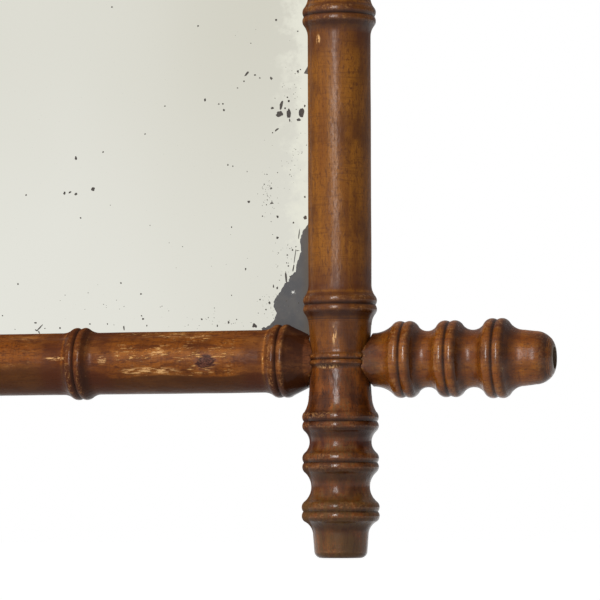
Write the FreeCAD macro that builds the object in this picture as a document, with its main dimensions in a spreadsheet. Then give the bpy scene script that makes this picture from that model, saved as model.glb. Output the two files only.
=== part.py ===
import FreeCAD
import Part
import math
import os
import re
import Sketcher

# Faux bamboo mirror: four turned sticks cross at the corners and run on into turned ends.
# Millimetres. The front faces -Y and +Z is up. The origin lies on the wall, midway between the
# two hanger rings and level with their pins.

SIZES = {
    # Turned sticks
    "shaft_radius": 16.2,
    "node_crest": 2.7,
    "node_bead_radius": 3.6,
    "node_groove": 0.8,
    "node_shoulder": 0.9,
    "node_flare": 5.5,
    "stile_ring": 28.0,
    "stile_pitch": 147.5,
    "stile_bays": 4,
    "rail_ring": 30.5,
    "rail_pitch": 107.5,
    "rail_bays": 4,
    "rail_setback": 3.0,
    # Waist and low double bead where a stile crosses a rail
    "crossing_reach": 20.0,
    "crossing_waist": 1.0,
    "crossing_crest": 0.2,
    "crossing_bead_radius": 2.0,
    "crossing_groove": 0.7,
    "crossing_shoulder": 0.9,
    # Turned foot and head of a stile, measured outward from the crossing
    "foot_ring_one": 31.2,
    "foot_ring_two": 52.0,
    "foot_ring_three": 76.8,
    "foot_length": 100.3,
    "foot_crest": 3.4,
    "foot_tip_crest": 3.7,
    "foot_bead_radius": 3.6,
    "foot_groove": 0.8,
    "foot_shoulder": 1.2,
    "foot_flare": 8.0,
    "foot_cove_one": 2.5,
    "foot_cove_two": 3.5,
    "foot_root_drop": 4.5,
    "foot_root_run": 7.0,
    "foot_taper": 0.6,
    "foot_round": 3.5,
    # Turned finial of a rail, measured outward from the crossing
    "finial_ring_one": 33.3,
    "finial_ring_two": 56.6,
    "finial_ring_three": 80.8,
    "finial_length": 110.2,
    "finial_crest": 3.4,
    "finial_tip_crest": 4.1,
    "finial_bead_radius": 4.0,
    "finial_groove": 0.9,
    "finial_shoulder": 1.6,
    "finial_cove_one": 3.6,
    "finial_cove_two": 3.7,
    "finial_root_drop": 4.4,
    "finial_root_run": 8.0,
    "finial_taper": 0.7,
    "finial_round": 10.0,
    "recess_radius": 5.6,
    "recess_depth": 3.0,
    # Round tenons, their bores and pegs
    "neck_inset": 9.0,
    "neck_radius": 12.6,
    "neck_reach": 17.0,
    "neck_swell": 1.2,
    "joint_clearance": 0.15,
    "tenon_radius": 7.0,
    "tenon_clearance": 0.1,
    "tenon_gap": 0.6,
    "peg_radius": 1.6,
    "peg_clearance": 0.05,
    "peg_offset": 6.5,
    "peg_reach": 4.0,
    "peg_length": 15.6,
    # Rebate, plate and boards
    "rebate_wall": 8.0,
    "glass_front": 1.0,
    "glass_thickness": 3.0,
    "glass_clearance": 1.0,
    "wedge_depth": 3.5,
    "wedge_width": 6.0,
    "wedge_top": 3.5,
    "wedge_length": 45.0,
    "stile_wedges": 3,
    "rail_wedges": 2,
    "board_thickness": 4.5,
    "board_count": 4,
    "board_gap": 0.6,
    "brad_radius": 0.7,
    "brad_clearance": 0.05,
    "brad_grip": 6.0,
    "brad_length": 14.0,
    "rail_brads": 3,
    # Hangers on the backs of the stiles
    "hanger_height": 545.0,
    "seat_depth": 14.0,
    "seat_below": 46.0,
    "seat_above": 20.0,
    "strap_width": 13.0,
    "strap_length": 42.0,
    "strap_thickness": 1.2,
    "pin_lift": 2.95,
    "ring_wire": 1.35,
    "ring_clearance": 0.08,
    "ring_half_width": 11.0,
    "ring_corner": 2.6,
    "ring_arm": 2.0,
    "strap_screws": 2,
    "screw_drop": 22.0,
    "screw_spacing": 12.0,
    "screw_shank": 1.6,
    "screw_clearance": 0.1,
    "screw_length": 11.0,
    "screw_point": 3.0,
    "screw_head": 3.2,
    "screw_dome": 1.8,
    "slot_width": 0.9,
    "slot_depth": 0.8,
}

# Lengths that follow from the sizes
RAIL_SPAN = "(2 * rail_ring + rail_bays * rail_pitch)"
STILE_SPAN = "(2 * stile_ring + stile_bays * stile_pitch)"
STILE_LENGTH = f"({STILE_SPAN} + 2 * foot_length)"
PLATE_INSET = "(rebate_wall + glass_clearance)"
PLATE_WIDTH = f"({RAIL_SPAN} - 2 * {PLATE_INSET})"
PLATE_HEIGHT = f"({STILE_SPAN} - 2 * {PLATE_INSET})"
WEDGE_FRONT = "(glass_front + glass_thickness)"
BOARD_FRONT = f"({WEDGE_FRONT} + wedge_depth)"
BRAD_DEPTH = f"({BOARD_FRONT} + board_thickness + brad_radius + brad_clearance)"
BRAD_PITCH = f"({PLATE_HEIGHT} / (2 * board_count))"
RAIL_BRAD_PITCH = f"({RAIL_SPAN} / (rail_brads + 1))"
LOOP_BORE = "(ring_wire + ring_clearance)"
BEYOND = "(4 * shaft_radius)"

# Places in the part's frame
STILE_X = f"({RAIL_SPAN} / 2)"
STILE_Y = "(-rail_setback - shaft_radius - finial_tip_crest)"
RAIL_Y = f"({STILE_Y} + rail_setback)"
CROSSING_Z = "(-hanger_height)"
MIDDLE_Z = f"({STILE_SPAN} / 2 - hanger_height)"
PIN_Y = f"({STILE_Y} + seat_depth + pin_lift)"

ALONG_Y = FreeCAD.Rotation(FreeCAD.Vector(1, 0, 0), -90)
ALONG_X = FreeCAD.Rotation(FreeCAD.Vector(0, 1, 0), 90)

DOC = FreeCAD.newDocument("faux_bamboo_mirror")
SHEET = DOC.addObject("Spreadsheet::Sheet", "Sizes")


def fill_sheet():
    """Writes each driving size into a cell of its own, under its name."""
    for row, (name, size) in enumerate(SIZES.items(), start=1):
        SHEET.set(f"A{row}", name)
        SHEET.set(f"B{row}", str(size))
        SHEET.setAlias(f"B{row}", name)
    DOC.recompute()


def bound(text):
    """The expression with each size name pointing at its cell."""
    return re.sub(r"\b(?!sqrt)[a-z][a-z_]+", lambda word: "Sizes." + word.group(), text)


def value(text):
    """The expression's number at the present sizes."""
    return float(SHEET.evalExpression(bound(text)))


def bind(thing, prop, text):
    thing.setExpression(prop, bound(text))


def place(thing, x, y, z, rotation=None):
    """Sets a piece at a point of the part's frame, given as expressions."""
    if rotation:
        thing.Placement = FreeCAD.Placement(FreeCAD.Vector(), rotation)
    for axis, text in zip("xyz", (x, y, z)):
        bind(thing, f"Placement.Base.{axis}", text)


def new_body(label):
    body = DOC.addObject("PartDesign::Body", label)
    body.Label = label
    return body


def origin_feature(body, role):
    return next(item for item in body.Origin.OriginFeatures if item.Role == role)


def attach(thing, body, plane, shift):
    """Lays a sketch or datum on one of its body's origin planes, moved by expressions."""
    thing.AttachmentSupport = [(origin_feature(body, plane), "")]
    thing.MapMode = "FlatFace"
    for axis, text in zip("xyz", shift):
        bind(thing, f"AttachmentOffset.Base.{axis}", text)


def new_sketch(body, name, plane, shift=("0", "0", "0")):
    sketch = body.newObject("Sketcher::SketchObject", name)
    attach(sketch, body, plane, shift)
    return sketch


def dimension(sketch, constraint, text):
    """Adds a dimension that follows the sheet."""
    index = sketch.addConstraint(constraint)
    bind(sketch, f"Constraints[{index}]", text)


def fix_point(sketch, edge, end, x, y):
    """Dimensions a point from the sketch's axes, or puts it on an axis where it is at zero."""
    for kind, text, axis in (("DistanceX", x, -2), ("DistanceY", y, -1)):
        if text == "0":
            sketch.addConstraint(Sketcher.Constraint("PointOnObject", edge, end, axis))
        else:
            dimension(sketch, Sketcher.Constraint(kind, -1, 1, edge, end, value(text)), text)


def arc_between(here, there, bulge, radius):
    """An arc of under half a turn that bulges to the left or right of the way from here to there."""
    chord = there - here
    left = FreeCAD.Vector(-chord.y, chord.x, 0).normalize()
    height = math.sqrt(max(radius ** 2 - chord.Length ** 2 / 4, 0))
    centre = (here + there) * 0.5 + left * (height if bulge == "right" else -height)
    ends = (here, there) if bulge == "right" else (there, here)
    angles = [math.atan2(point.y - centre.y, point.x - centre.x) for point in ends]
    return Part.ArcOfCircle(Part.Circle(centre, FreeCAD.Vector(0, 0, 1), radius), *angles)


def outline(sketch, corners, closed=True):
    """Draws a loop or path through corners (x, y), each reached by a line from the one before,
    or (x, y, bulge, radius), reached by an arc that bulges left or right."""
    points = [FreeCAD.Vector(value(corner[0]), value(corner[1]), 0) for corner in corners]
    way = list(zip(points[-1:] + points[:-1], points, corners))
    edges = []
    for here, there, corner in way if closed else way[1:]:
        bulge = corner[2] if len(corner) > 2 else None
        if bulge:
            edge = sketch.addGeometry(arc_between(here, there, bulge, value(corner[3])))
            dimension(sketch, Sketcher.Constraint("Radius", edge, value(corner[3])), corner[3])
        else:
            edge = sketch.addGeometry(Part.LineSegment(here, there))
        start, end = (2, 1) if bulge == "left" else (1, 2)
        fix_point(sketch, edge, end, corner[0], corner[1])
        edges.append((edge, start, end))
    if not closed:
        fix_point(sketch, edges[0][0], edges[0][1], *corners[0])
    for (edge, _, end), (after, start, _) in zip(edges, edges[1:] + edges[:closed]):
        sketch.addConstraint(Sketcher.Constraint("Coincident", edge, end, after, start))


def rectangle(sketch, x_low, x_high, y_low, y_high):
    outline(sketch, [(x_low, y_low), (x_high, y_low), (x_high, y_high), (x_low, y_high)])


def circle(sketch, x, y, radius):
    disc = Part.Circle(FreeCAD.Vector(value(x), value(y), 0), FreeCAD.Vector(0, 0, 1), value(radius))
    edge = sketch.addGeometry(disc)
    fix_point(sketch, edge, 3, x, y)
    dimension(sketch, Sketcher.Constraint("Radius", edge, value(radius)), radius)


def spun(body, kind, name, sketch, axis):
    """A full turn of a sketch about one of its own axes, added or cut."""
    feature = body.newObject(kind, name)
    feature.Profile = sketch
    feature.ReferenceAxis = (sketch, [axis])
    feature.Angle = 360
    return feature


def pushed(body, kind, name, sketch, length, reverse=False, both_ways=False):
    """A pad or pocket of a sketch."""
    feature = body.newObject(kind, name)
    feature.Profile = sketch
    feature.Reversed = reverse
    feature.Midplane = both_ways
    bind(feature, "Length", length)
    return feature


def cut(body, name, sketch, length, reverse=False, both_ways=False):
    return pushed(body, "PartDesign::Pocket", name, sketch, length, reverse, both_ways)


def row(body, name, features, axis, count, pitch):
    """Repeats features along one of the body's axes."""
    pattern = body.newObject("PartDesign::LinearPattern", name)
    pattern.Originals = features
    pattern.Direction = (origin_feature(body, axis), [""])
    bind(pattern, "Length", f"({count} - 1) * {pitch}")
    bind(pattern, "Occurrences", count)
    body.Tip = pattern


def mirrored(body, name, features, plane, middle):
    """Repeats features on the other side of a plane across the middle of the stick."""
    datum = body.newObject("PartDesign::Plane", name + "_plane")
    attach(datum, body, plane, ("0", "0", middle))
    mirror = body.newObject("PartDesign::Mirrored", name)
    mirror.Originals = features
    mirror.MirrorPlane = (datum, [""])
    body.Tip = mirror


def sagitta_radius(chord, height):
    """Radius of the arc that stands this high over its chord."""
    return f"(({chord})^2 / 4 + ({height})^2) / (2 * ({height}))"


def tangent_radius(run, rise):
    """Radius of the arc that leaves a line without a corner and rises this much over its run."""
    return f"(({run})^2 + ({rise})^2) / (2 * ({rise}))"


def run_down(radius, drop):
    """Distance from a bead's crest to where its round has come down this far."""
    return f"sqrt(2 * {radius} * {drop} - {drop}^2)"


def half_ring(kind):
    """Distance from a double bead's groove to its shoulder, where the next curve begins."""
    radius = f"{kind}_bead_radius"
    return f"({run_down(radius, f'{kind}_groove')} + {run_down(radius, f'{kind}_shoulder')})"


def shoulder_radius(kind, crest="crest"):
    return f"(shaft_radius + {kind}_{crest} - {kind}_shoulder)"


def double_bead(kind, centre, extra="0", crest="crest"):
    """Two beads with a sharp groove between them, from the corner at the shoulder before them."""
    round_off = f"{kind}_bead_radius"
    groove = f"shaft_radius + {kind}_{crest} - {kind}_groove + {extra}"
    shoulder = f"{shoulder_radius(kind, crest)} + {extra}"
    after = f"{centre} + {half_ring(kind)}"
    return [(centre, groove, "out", round_off), (after, shoulder, "out", round_off)]


def turned_outline(sketch, upright, profile):
    """Draws corners (along, radius), with arcs that bulge out from the axis or in towards it."""
    corners = []
    for before, corner in zip(profile[-1:] + profile[:-1], profile):
        spot = (corner[1], corner[0]) if upright else (corner[0], corner[1])
        if len(corner) > 2:
            outward_is_left = (value(corner[0]) > value(before[0])) != upright
            bulge = "left" if outward_is_left == (corner[2] == "out") else "right"
            spot += (bulge, corner[3])
        corners.append(spot)
    outline(sketch, corners)


def turned(body, name, upright, profile):
    """A turned length of a stick, spun about the stick's axis, which is Z or X."""
    sketch = new_sketch(body, name + "_outline", "XZ_Plane")
    turned_outline(sketch, upright, profile)
    return spun(body, "PartDesign::Revolution", name, sketch, "V_Axis" if upright else "H_Axis")


def node_flare_radius():
    return tangent_radius("node_flare", "node_crest - node_shoulder")


def node_ring_profile(centre):
    """A bamboo node: a double bead that flares down to the shaft on both sides."""
    flare = node_flare_radius()
    shoulder = f"{centre} - {half_ring('node')}"
    low = f"{shoulder} - node_flare"
    high = f"{centre} + {half_ring('node')} + node_flare"
    rise = [(low, "0"), (low, "shaft_radius"), (shoulder, shoulder_radius("node"), "in", flare)]
    return rise + double_bead("node", centre) + [(high, "shaft_radius", "in", flare), (high, "0")]


def crossing_profile(centre, extra):
    """The waist of a stile at a crossing, with its low double bead, made larger by extra."""
    waist = f"shaft_radius - crossing_waist + {extra}"
    ends = f"shaft_radius + {extra}"
    half = half_ring("crossing")
    shoulder = f"{shoulder_radius('crossing')} + {extra}"
    into = [(f"{centre} - crossing_reach", ends), (f"{centre} - {half} - crossing_shoulder", waist)]
    into.append((f"{centre} - {half}", shoulder))
    out = [(f"{centre} + {half} + crossing_shoulder", waist), (f"{centre} + crossing_reach", ends)]
    return into + double_bead("crossing", centre, extra) + out


def turned_end_profile(end, beginning):
    """Three double beads with coves between them, and a knob, after the corners of the beginning."""
    rings = [f"{end}_ring_one", f"{end}_ring_two", f"{end}_ring_three"]
    crests = ["crest", "crest", "tip_crest"]
    half = half_ring(end)
    profile = beginning + double_bead(end, rings[0])
    for before, ring, crest, cove in zip(rings, rings[1:], crests[1:], ("cove_one", "cove_two")):
        radius = sagitta_radius(f"{ring} - {before} - 2 * {half}", f"{end}_{cove}")
        profile.append((f"{ring} - {half}", shoulder_radius(end, crest), "in", radius))
        profile += double_bead(end, ring, crest=crest)
    root = f"({shoulder_radius(end, 'tip_crest')} - {end}_root_drop)"
    tip = f"({root} - {end}_taper)"
    root_arc = tangent_radius(f"{end}_root_run", f"{end}_root_drop")
    profile.append((f"{rings[2]} + {half} + {end}_root_run", root, "in", root_arc))
    profile.append((f"{end}_length - {end}_round", tip))
    profile.append((f"{end}_length", f"{tip} - {end}_round", "out", f"{end}_round"))
    return profile + [(f"{end}_length", "0")]


def stile_shaft_profile():
    """The plain stick between the first rings of foot and head, waisted at both crossings."""
    low = "foot_length - foot_ring_one"
    high = f"{STILE_LENGTH} - foot_length + foot_ring_one"
    crossings = crossing_profile("foot_length", "0")
    crossings += crossing_profile(f"foot_length + {STILE_SPAN}", "0")
    return [(low, "0"), (low, "shaft_radius")] + crossings + [(high, "shaft_radius"), (high, "0")]


def stile_foot_profile():
    """The foot, turned from its outward distances into heights above its end."""
    shoulder = f"foot_ring_one - {half_ring('foot')}"
    start = f"{shoulder} - foot_flare"
    flare = tangent_radius("foot_flare", "foot_crest - foot_shoulder")
    first = (shoulder, shoulder_radius("foot"), "in", flare)
    profile = turned_end_profile("foot", [(start, "0"), (start, "shaft_radius"), first])
    heights = [f"foot_length - ({corner[0]})" for corner in profile[:-2]] + ["0", "0"]
    return [(height,) + corner[1:] for height, corner in zip(heights, profile)]


def cut_stile_joints(body):
    """The bore for both tenons and the two peg holes, at the lower crossing."""
    bore_sketch = new_sketch(body, "tenon_bore_outline", "YZ_Plane")
    circle(bore_sketch, "rail_setback", "foot_length", "tenon_radius + tenon_clearance")
    bore = cut(body, "tenon_bore", bore_sketch, BEYOND, both_ways=True)
    peg_sketch = new_sketch(body, "peg_hole_outline", "XZ_Plane", ("0", "0", "-rail_setback"))
    for side in ("-peg_offset", "peg_offset"):
        circle(peg_sketch, side, "foot_length", "peg_radius + peg_clearance")
    return [bore, cut(body, "peg_holes", peg_sketch, BEYOND)]


def cut_stile_back(body):
    """The rebate, the brad holes in its wall and the flat seat of the hanger."""
    rebate = new_sketch(body, "rebate_outline", "XZ_Plane", ("0", "0", "-glass_front"))
    low = "foot_length + rebate_wall"
    high = f"foot_length + {STILE_SPAN} - rebate_wall"
    rectangle(rebate, "rebate_wall", BEYOND, low, high)
    cut(body, "rebate", rebate, BEYOND)

    brad_start = ("0", "0", "rebate_wall - brad_grip")
    brad = new_sketch(body, "brad_hole_outline", "YZ_Plane", brad_start)
    lowest = f"foot_length + {PLATE_INSET} + {BRAD_PITCH} / 2"
    circle(brad, BRAD_DEPTH, lowest, "brad_radius + brad_clearance")
    hole = cut(body, "brad_hole", brad, "brad_grip", reverse=True)
    row(body, "brad_holes", [hole], "Z_Axis", "(2 * board_count)", BRAD_PITCH)

    seat = new_sketch(body, "hanger_seat_outline", "XZ_Plane", ("0", "0", "-seat_depth"))
    pivot = "foot_length + hanger_height"
    rectangle(seat, "-shaft_radius", "shaft_radius", f"{pivot} - seat_below", f"{pivot} + seat_above")
    cut(body, "hanger_seat", seat, BEYOND)

    screw_start = ("0", "0", "screw_length - seat_depth")
    screw = new_sketch(body, "screw_hole_outline", "XZ_Plane", screw_start)
    lowest = f"{pivot} - screw_drop - (strap_screws - 1) * screw_spacing"
    circle(screw, "0", lowest, "screw_shank + screw_clearance")
    hole = cut(body, "screw_hole", screw, "2 * screw_length")
    row(body, "screw_holes", [hole], "Z_Axis", "strap_screws", "screw_spacing")


def make_stile():
    """The left stile, one stick from the end of its foot, at the body's origin, to its head."""
    body = new_body("stile_left")
    turned(body, "shaft", True, stile_shaft_profile())
    ring = turned(body, "node_ring", True, node_ring_profile("foot_length + stile_ring"))
    row(body, "node_rings", [ring], "Z_Axis", "(stile_bays + 1)", "stile_pitch")
    foot = turned(body, "foot", True, stile_foot_profile())
    joints = cut_stile_joints(body)
    mirrored(body, "head", [foot] + joints, "XY_Plane", f"{STILE_LENGTH} / 2")
    cut_stile_back(body)
    place(body, f"-{STILE_X}", STILE_Y, f"{CROSSING_Z} - foot_length")
    return body


def add_tenon(body):
    """Scribes the neck to the stile, and gives it a round tenon with a peg hole."""
    centre = "2 * crossing_reach"
    cope_start = ("0", f"-{centre}", "rail_setback")
    cope_sketch = new_sketch(body, "cope_outline", "XZ_Plane", cope_start)
    profile = crossing_profile(centre, "joint_clearance")
    turned_outline(cope_sketch, True, [(profile[0][0], "0")] + profile + [(profile[-1][0], "0")])
    cope = spun(body, "PartDesign::Groove", "cope", cope_sketch, "V_Axis")

    tenon_sketch = new_sketch(body, "tenon_outline", "YZ_Plane", ("0", "0", "tenon_gap"))
    circle(tenon_sketch, "0", "0", "tenon_radius")
    tenon = pushed(body, "PartDesign::Pad", "tenon", tenon_sketch, "neck_reach - tenon_gap")

    peg_start = ("0", "0", "peg_reach + peg_clearance")
    peg_sketch = new_sketch(body, "peg_hole_outline", "XZ_Plane", peg_start)
    circle(peg_sketch, "peg_offset", "0", "peg_radius + peg_clearance")
    return [cope, tenon, cut(body, "peg_hole", peg_sketch, BEYOND)]


def neck_corners():
    """The neck of a rail or finial, from its end beside the stile."""
    swollen = "neck_radius + neck_swell"
    return [("neck_inset", "0"), ("neck_inset", "neck_radius"), ("neck_reach", swollen)]


def rail_end_profile():
    """The neck, which opens as a cone into the first node, and the flare down to the shaft."""
    stop = f"rail_ring + {half_ring('node')} + node_flare"
    profile = neck_corners() + [(f"rail_ring - {half_ring('node')}", shoulder_radius("node"))]
    profile += double_bead("node", "rail_ring")
    return profile + [(stop, "shaft_radius", "in", node_flare_radius()), (stop, "0")]


def cut_rail_back(body):
    """The rebate and the brad holes in its wall."""
    rebate_start = ("0", "0", "rail_setback - glass_front")
    rebate = new_sketch(body, "rebate_outline", "XZ_Plane", rebate_start)
    rectangle(rebate, "rebate_wall", f"{RAIL_SPAN} - rebate_wall", "rebate_wall", BEYOND)
    cut(body, "rebate", rebate, BEYOND)

    brad_start = ("0", "0", "rebate_wall - brad_grip")
    brad = new_sketch(body, "brad_hole_outline", "XY_Plane", brad_start)
    circle(brad, RAIL_BRAD_PITCH, f"{BRAD_DEPTH} - rail_setback", "brad_radius + brad_clearance")
    hole = cut(body, "brad_hole", brad, "brad_grip", reverse=True)
    row(body, "brad_holes", [hole], "X_Axis", "rail_brads", RAIL_BRAD_PITCH)


def make_rail():
    """The bottom rail, measured along X from the axis of the left stile."""
    body = new_body("rail_bottom")
    stop = f"{RAIL_SPAN} - rail_ring"
    shaft = [("rail_ring", "0"), ("rail_ring", "shaft_radius"), (stop, "shaft_radius"), (stop, "0")]
    turned(body, "shaft", False, shaft)
    ring = turned(body, "node_ring", False, node_ring_profile("rail_ring + rail_pitch"))
    row(body, "node_rings", [ring], "X_Axis", "(rail_bays - 1)", "rail_pitch")
    neck = turned(body, "neck", False, rail_end_profile())
    tenon = add_tenon(body)
    mirrored(body, "other_end", [neck] + tenon, "YZ_Plane", f"{RAIL_SPAN} / 2")
    cut_rail_back(body)
    place(body, f"-{STILE_X}", RAIL_Y, CROSSING_Z)
    return body


def make_finial():
    """The lower right finial, measured along X from the axis of the right stile."""
    body = new_body("finial_bottom_right")
    start = f"finial_ring_one - {half_ring('finial')}"
    shoulder = shoulder_radius("finial")
    opening = tangent_radius(f"{start} - neck_reach", f"{shoulder} - neck_radius - neck_swell")
    profile = turned_end_profile("finial", neck_corners() + [(start, shoulder, "in", opening)])
    turned(body, "turning", False, profile)
    add_tenon(body)
    recess_start = ("0", "0", "finial_length - recess_depth")
    recess = new_sketch(body, "end_recess_outline", "YZ_Plane", recess_start)
    circle(recess, "0", "0", "recess_radius")
    cut(body, "end_recess", recess, "2 * recess_depth", reverse=True)
    place(body, STILE_X, RAIL_Y, CROSSING_Z)
    return body


def reflection(label, source, normal, base_z="0"):
    """The same piece on the other side of the frame."""
    copy = DOC.addObject("Part::Mirroring", label)
    copy.Label = label
    copy.Source = source
    copy.Normal = FreeCAD.Vector(*normal)
    bind(copy, "Base.z", base_z)
    return copy


def make_frame():
    """Stiles, rails and finials. One of each is made, and the rest are its reflections."""
    across, upward = (1, 0, 0), (0, 0, 1)
    stile = make_stile()
    rail = make_rail()
    finial = make_finial()
    upper = reflection("finial_top_right", finial, upward, MIDDLE_Z)
    return [
        stile,
        reflection("stile_right", stile, across),
        rail,
        reflection("rail_top", rail, upward, MIDDLE_Z),
        finial,
        reflection("finial_bottom_left", finial, across),
        upper,
        reflection("finial_top_left", upper, across),
    ]


def make_box(label, size, corner):
    box = DOC.addObject("Part::Box", label)
    box.Label = label
    for prop, text in zip(("Length", "Width", "Height"), size):
        bind(box, prop, text)
    place(box, *corner)
    return box


def make_plate():
    """The mirror plate and the boards behind it, stacked upward from the bottom rail."""
    left = f"-{PLATE_WIDTH} / 2"
    low = f"{CROSSING_Z} + {PLATE_INSET}"
    glass_size = (PLATE_WIDTH, "glass_thickness", PLATE_HEIGHT)
    pieces = [make_box("mirror_glass", glass_size, (left, f"{STILE_Y} + glass_front", low))]
    board_pitch = f"(({PLATE_HEIGHT} + board_gap) / board_count)"
    board_size = (PLATE_WIDTH, "board_thickness", f"{board_pitch} - board_gap")
    for index in range(round(value("board_count"))):
        corner = (left, f"{STILE_Y} + {BOARD_FRONT}", f"{low} + {index} * {board_pitch}")
        pieces.append(make_box(f"backboard_{index + 1}", board_size, corner))
    return pieces


def make_group(label, pieces):
    """One node for a set of like pieces."""
    group = DOC.addObject("Part::Compound", label)
    group.Label = label
    group.Links = pieces
    return group


def make_wedge(x, z, turn):
    """A glazing block: its wide face lies on the plate and its narrow one carries the boards."""
    wedge = DOC.addObject("Part::Wedge", "wedge")
    lows = ("Xmin", "X2min", "Ymin", "Zmin", "Z2min")
    highs = {
        "Xmax": "wedge_length",
        "X2max": "wedge_length",
        "Ymax": "wedge_depth",
        "Zmax": "wedge_width",
        "Z2max": "wedge_top",
    }
    for prop in lows:
        setattr(wedge, prop, 0)
    for prop, text in highs.items():
        bind(wedge, prop, text)
    rotation = FreeCAD.Rotation(FreeCAD.Vector(0, 1, 0), turn)
    place(wedge, x, f"{STILE_Y} + {WEDGE_FRONT}", z, rotation)
    return wedge


def make_wedges():
    """Glazing blocks against the rebate walls of all four sticks."""
    side = f"({STILE_X} - rebate_wall)"
    bottom = f"({CROSSING_Z} + rebate_wall)"
    top = f"({CROSSING_Z} + {STILE_SPAN} - rebate_wall)"
    wedges = []
    for index in range(1, round(value("stile_wedges")) + 1):
        level = f"({CROSSING_Z} + {STILE_SPAN} * {index} / (stile_wedges + 1))"
        wedges.append(make_wedge(f"-{side}", f"{level} + wedge_length / 2", 90))
        wedges.append(make_wedge(side, f"{level} - wedge_length / 2", -90))
    for index in range(1, round(value("rail_wedges")) + 1):
        across = f"({RAIL_SPAN} * {index} / (rail_wedges + 1) - {STILE_X})"
        wedges.append(make_wedge(f"{across} - wedge_length / 2", bottom, 0))
        wedges.append(make_wedge(f"{across} + wedge_length / 2", top, 180))
    return make_group("glass_wedges", wedges)


def make_rod(radius, length, spot, rotation=None):
    rod = DOC.addObject("Part::Cylinder", "rod")
    bind(rod, "Radius", radius)
    bind(rod, "Height", length)
    place(rod, *spot, rotation)
    return rod


def make_brads():
    """Brads driven into the rebate walls, with their shanks over the boards."""
    depth = f"{STILE_Y} + {BRAD_DEPTH}"
    wall = f"({STILE_X} - rebate_wall)"
    bottom = f"({CROSSING_Z} + rebate_wall)"
    top = f"({CROSSING_Z} + {STILE_SPAN} - rebate_wall)"
    brads = []
    for index in range(round(value("2 * board_count"))):
        level = f"{CROSSING_Z} + {PLATE_INSET} + ({index} + 0.5) * {BRAD_PITCH}"
        for x in (f"-{wall} - brad_grip", f"{wall} + brad_grip - brad_length"):
            brads.append(make_rod("brad_radius", "brad_length", (x, depth, level), ALONG_X))
    for index in range(1, round(value("rail_brads")) + 1):
        across = f"{index} * {RAIL_BRAD_PITCH} - {STILE_X}"
        for z in (f"{bottom} - brad_grip", f"{top} + brad_grip - brad_length"):
            brads.append(make_rod("brad_radius", "brad_length", (across, depth, z)))
    return make_group("backboard_brads", brads)


def make_pegs():
    """Pegs driven from the back through the stiles and the tenons inside them."""
    pegs = []
    for level in (CROSSING_Z, f"{CROSSING_Z} + {STILE_SPAN}"):
        for stile in (f"-{STILE_X}", STILE_X):
            for side in ("- peg_offset", "+ peg_offset"):
                spot = (f"{stile} {side}", f"{RAIL_Y} - peg_reach", level)
                pegs.append(make_rod("peg_radius", "peg_length", spot, ALONG_Y))
    return make_group("tenon_pegs", pegs)


def screw_drops():
    """Levels of a strap's screws, below the ring's pin."""
    return [f"-screw_drop - {index} * screw_spacing" for index in range(round(value("strap_screws")))]


def make_strap(label, x):
    """A hanger strap: a plate with a round lower end, and a loop for the ring's pin on top."""
    body = new_body(label)
    half = "strap_width / 2"
    low = "-strap_length + strap_width / 2"
    plate = new_sketch(body, "plate_outline", "XZ_Plane", ("0", "0", "pin_lift"))
    outline(plate, [
        (f"-{half}", "0"),
        (f"-{half}", low),
        ("0", "-strap_length", "right", half),
        (half, low, "right", half),
        (half, "0"),
    ])
    pushed(body, "PartDesign::Pad", "plate", plate, "strap_thickness", reverse=True)
    loop = new_sketch(body, "loop_outline", "YZ_Plane")
    circle(loop, "0", "0", f"{LOOP_BORE} + strap_thickness")
    pushed(body, "PartDesign::Pad", "loop", loop, "strap_width", both_ways=True)
    bore = new_sketch(body, "loop_bore_outline", "YZ_Plane")
    circle(bore, "0", "0", LOOP_BORE)
    cut(body, "loop_bore", bore, "2 * strap_width", both_ways=True)
    holes = new_sketch(body, "screw_hole_outline", "XZ_Plane", ("0", "0", "pin_lift"))
    for drop in screw_drops():
        circle(holes, "0", drop, "screw_shank + screw_clearance")
    cut(body, "screw_holes", holes, "pin_lift")
    place(body, x, PIN_Y, "0")
    return body


def make_ring(label, x):
    """A D ring of round wire that hangs from its straight bar, made as two like halves."""
    body = new_body(label)
    wide = "ring_half_width"
    low = "-ring_corner - ring_arm"
    path = new_sketch(body, "wire_path", "XZ_Plane")
    outline(path, [
        ("0", "0"),
        ("ring_half_width - ring_corner", "0"),
        (wide, "-ring_corner", "left", "ring_corner"),
        (wide, low),
        ("0", f"{low} - {wide}", "left", wide),
    ], closed=False)
    section = new_sketch(body, "wire_section", "YZ_Plane")
    circle(section, "0", "0", "ring_wire")
    wire = body.newObject("PartDesign::AdditivePipe", "wire")
    wire.Profile = section
    wire.Spine = path
    mirrored(body, "other_half", [wire], "YZ_Plane", "0")
    place(body, x, PIN_Y, "0")
    return body


def make_screw(x, z):
    """A round head wood screw with its head on the strap."""
    body = new_body("screw")
    sketch = new_sketch(body, "screw_outline", "XZ_Plane")
    dome = tangent_radius("screw_head", "screw_dome")
    turned_outline(sketch, True, [
        ("-screw_length", "0"),
        ("-screw_length + screw_point", "screw_shank"),
        ("0", "screw_shank"),
        ("0", "screw_head"),
        ("screw_dome", "0", "out", dome),
    ])
    spun(body, "PartDesign::Revolution", "shank_and_head", sketch, "V_Axis")
    slot = new_sketch(body, "slot_outline", "XY_Plane", ("0", "0", "screw_dome"))
    rectangle(slot, "-screw_head", "screw_head", "-slot_width / 2", "slot_width / 2")
    cut(body, "slot", slot, "slot_depth")
    place(body, x, f"{STILE_Y} + seat_depth + strap_thickness", z, ALONG_Y)
    return body


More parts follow.
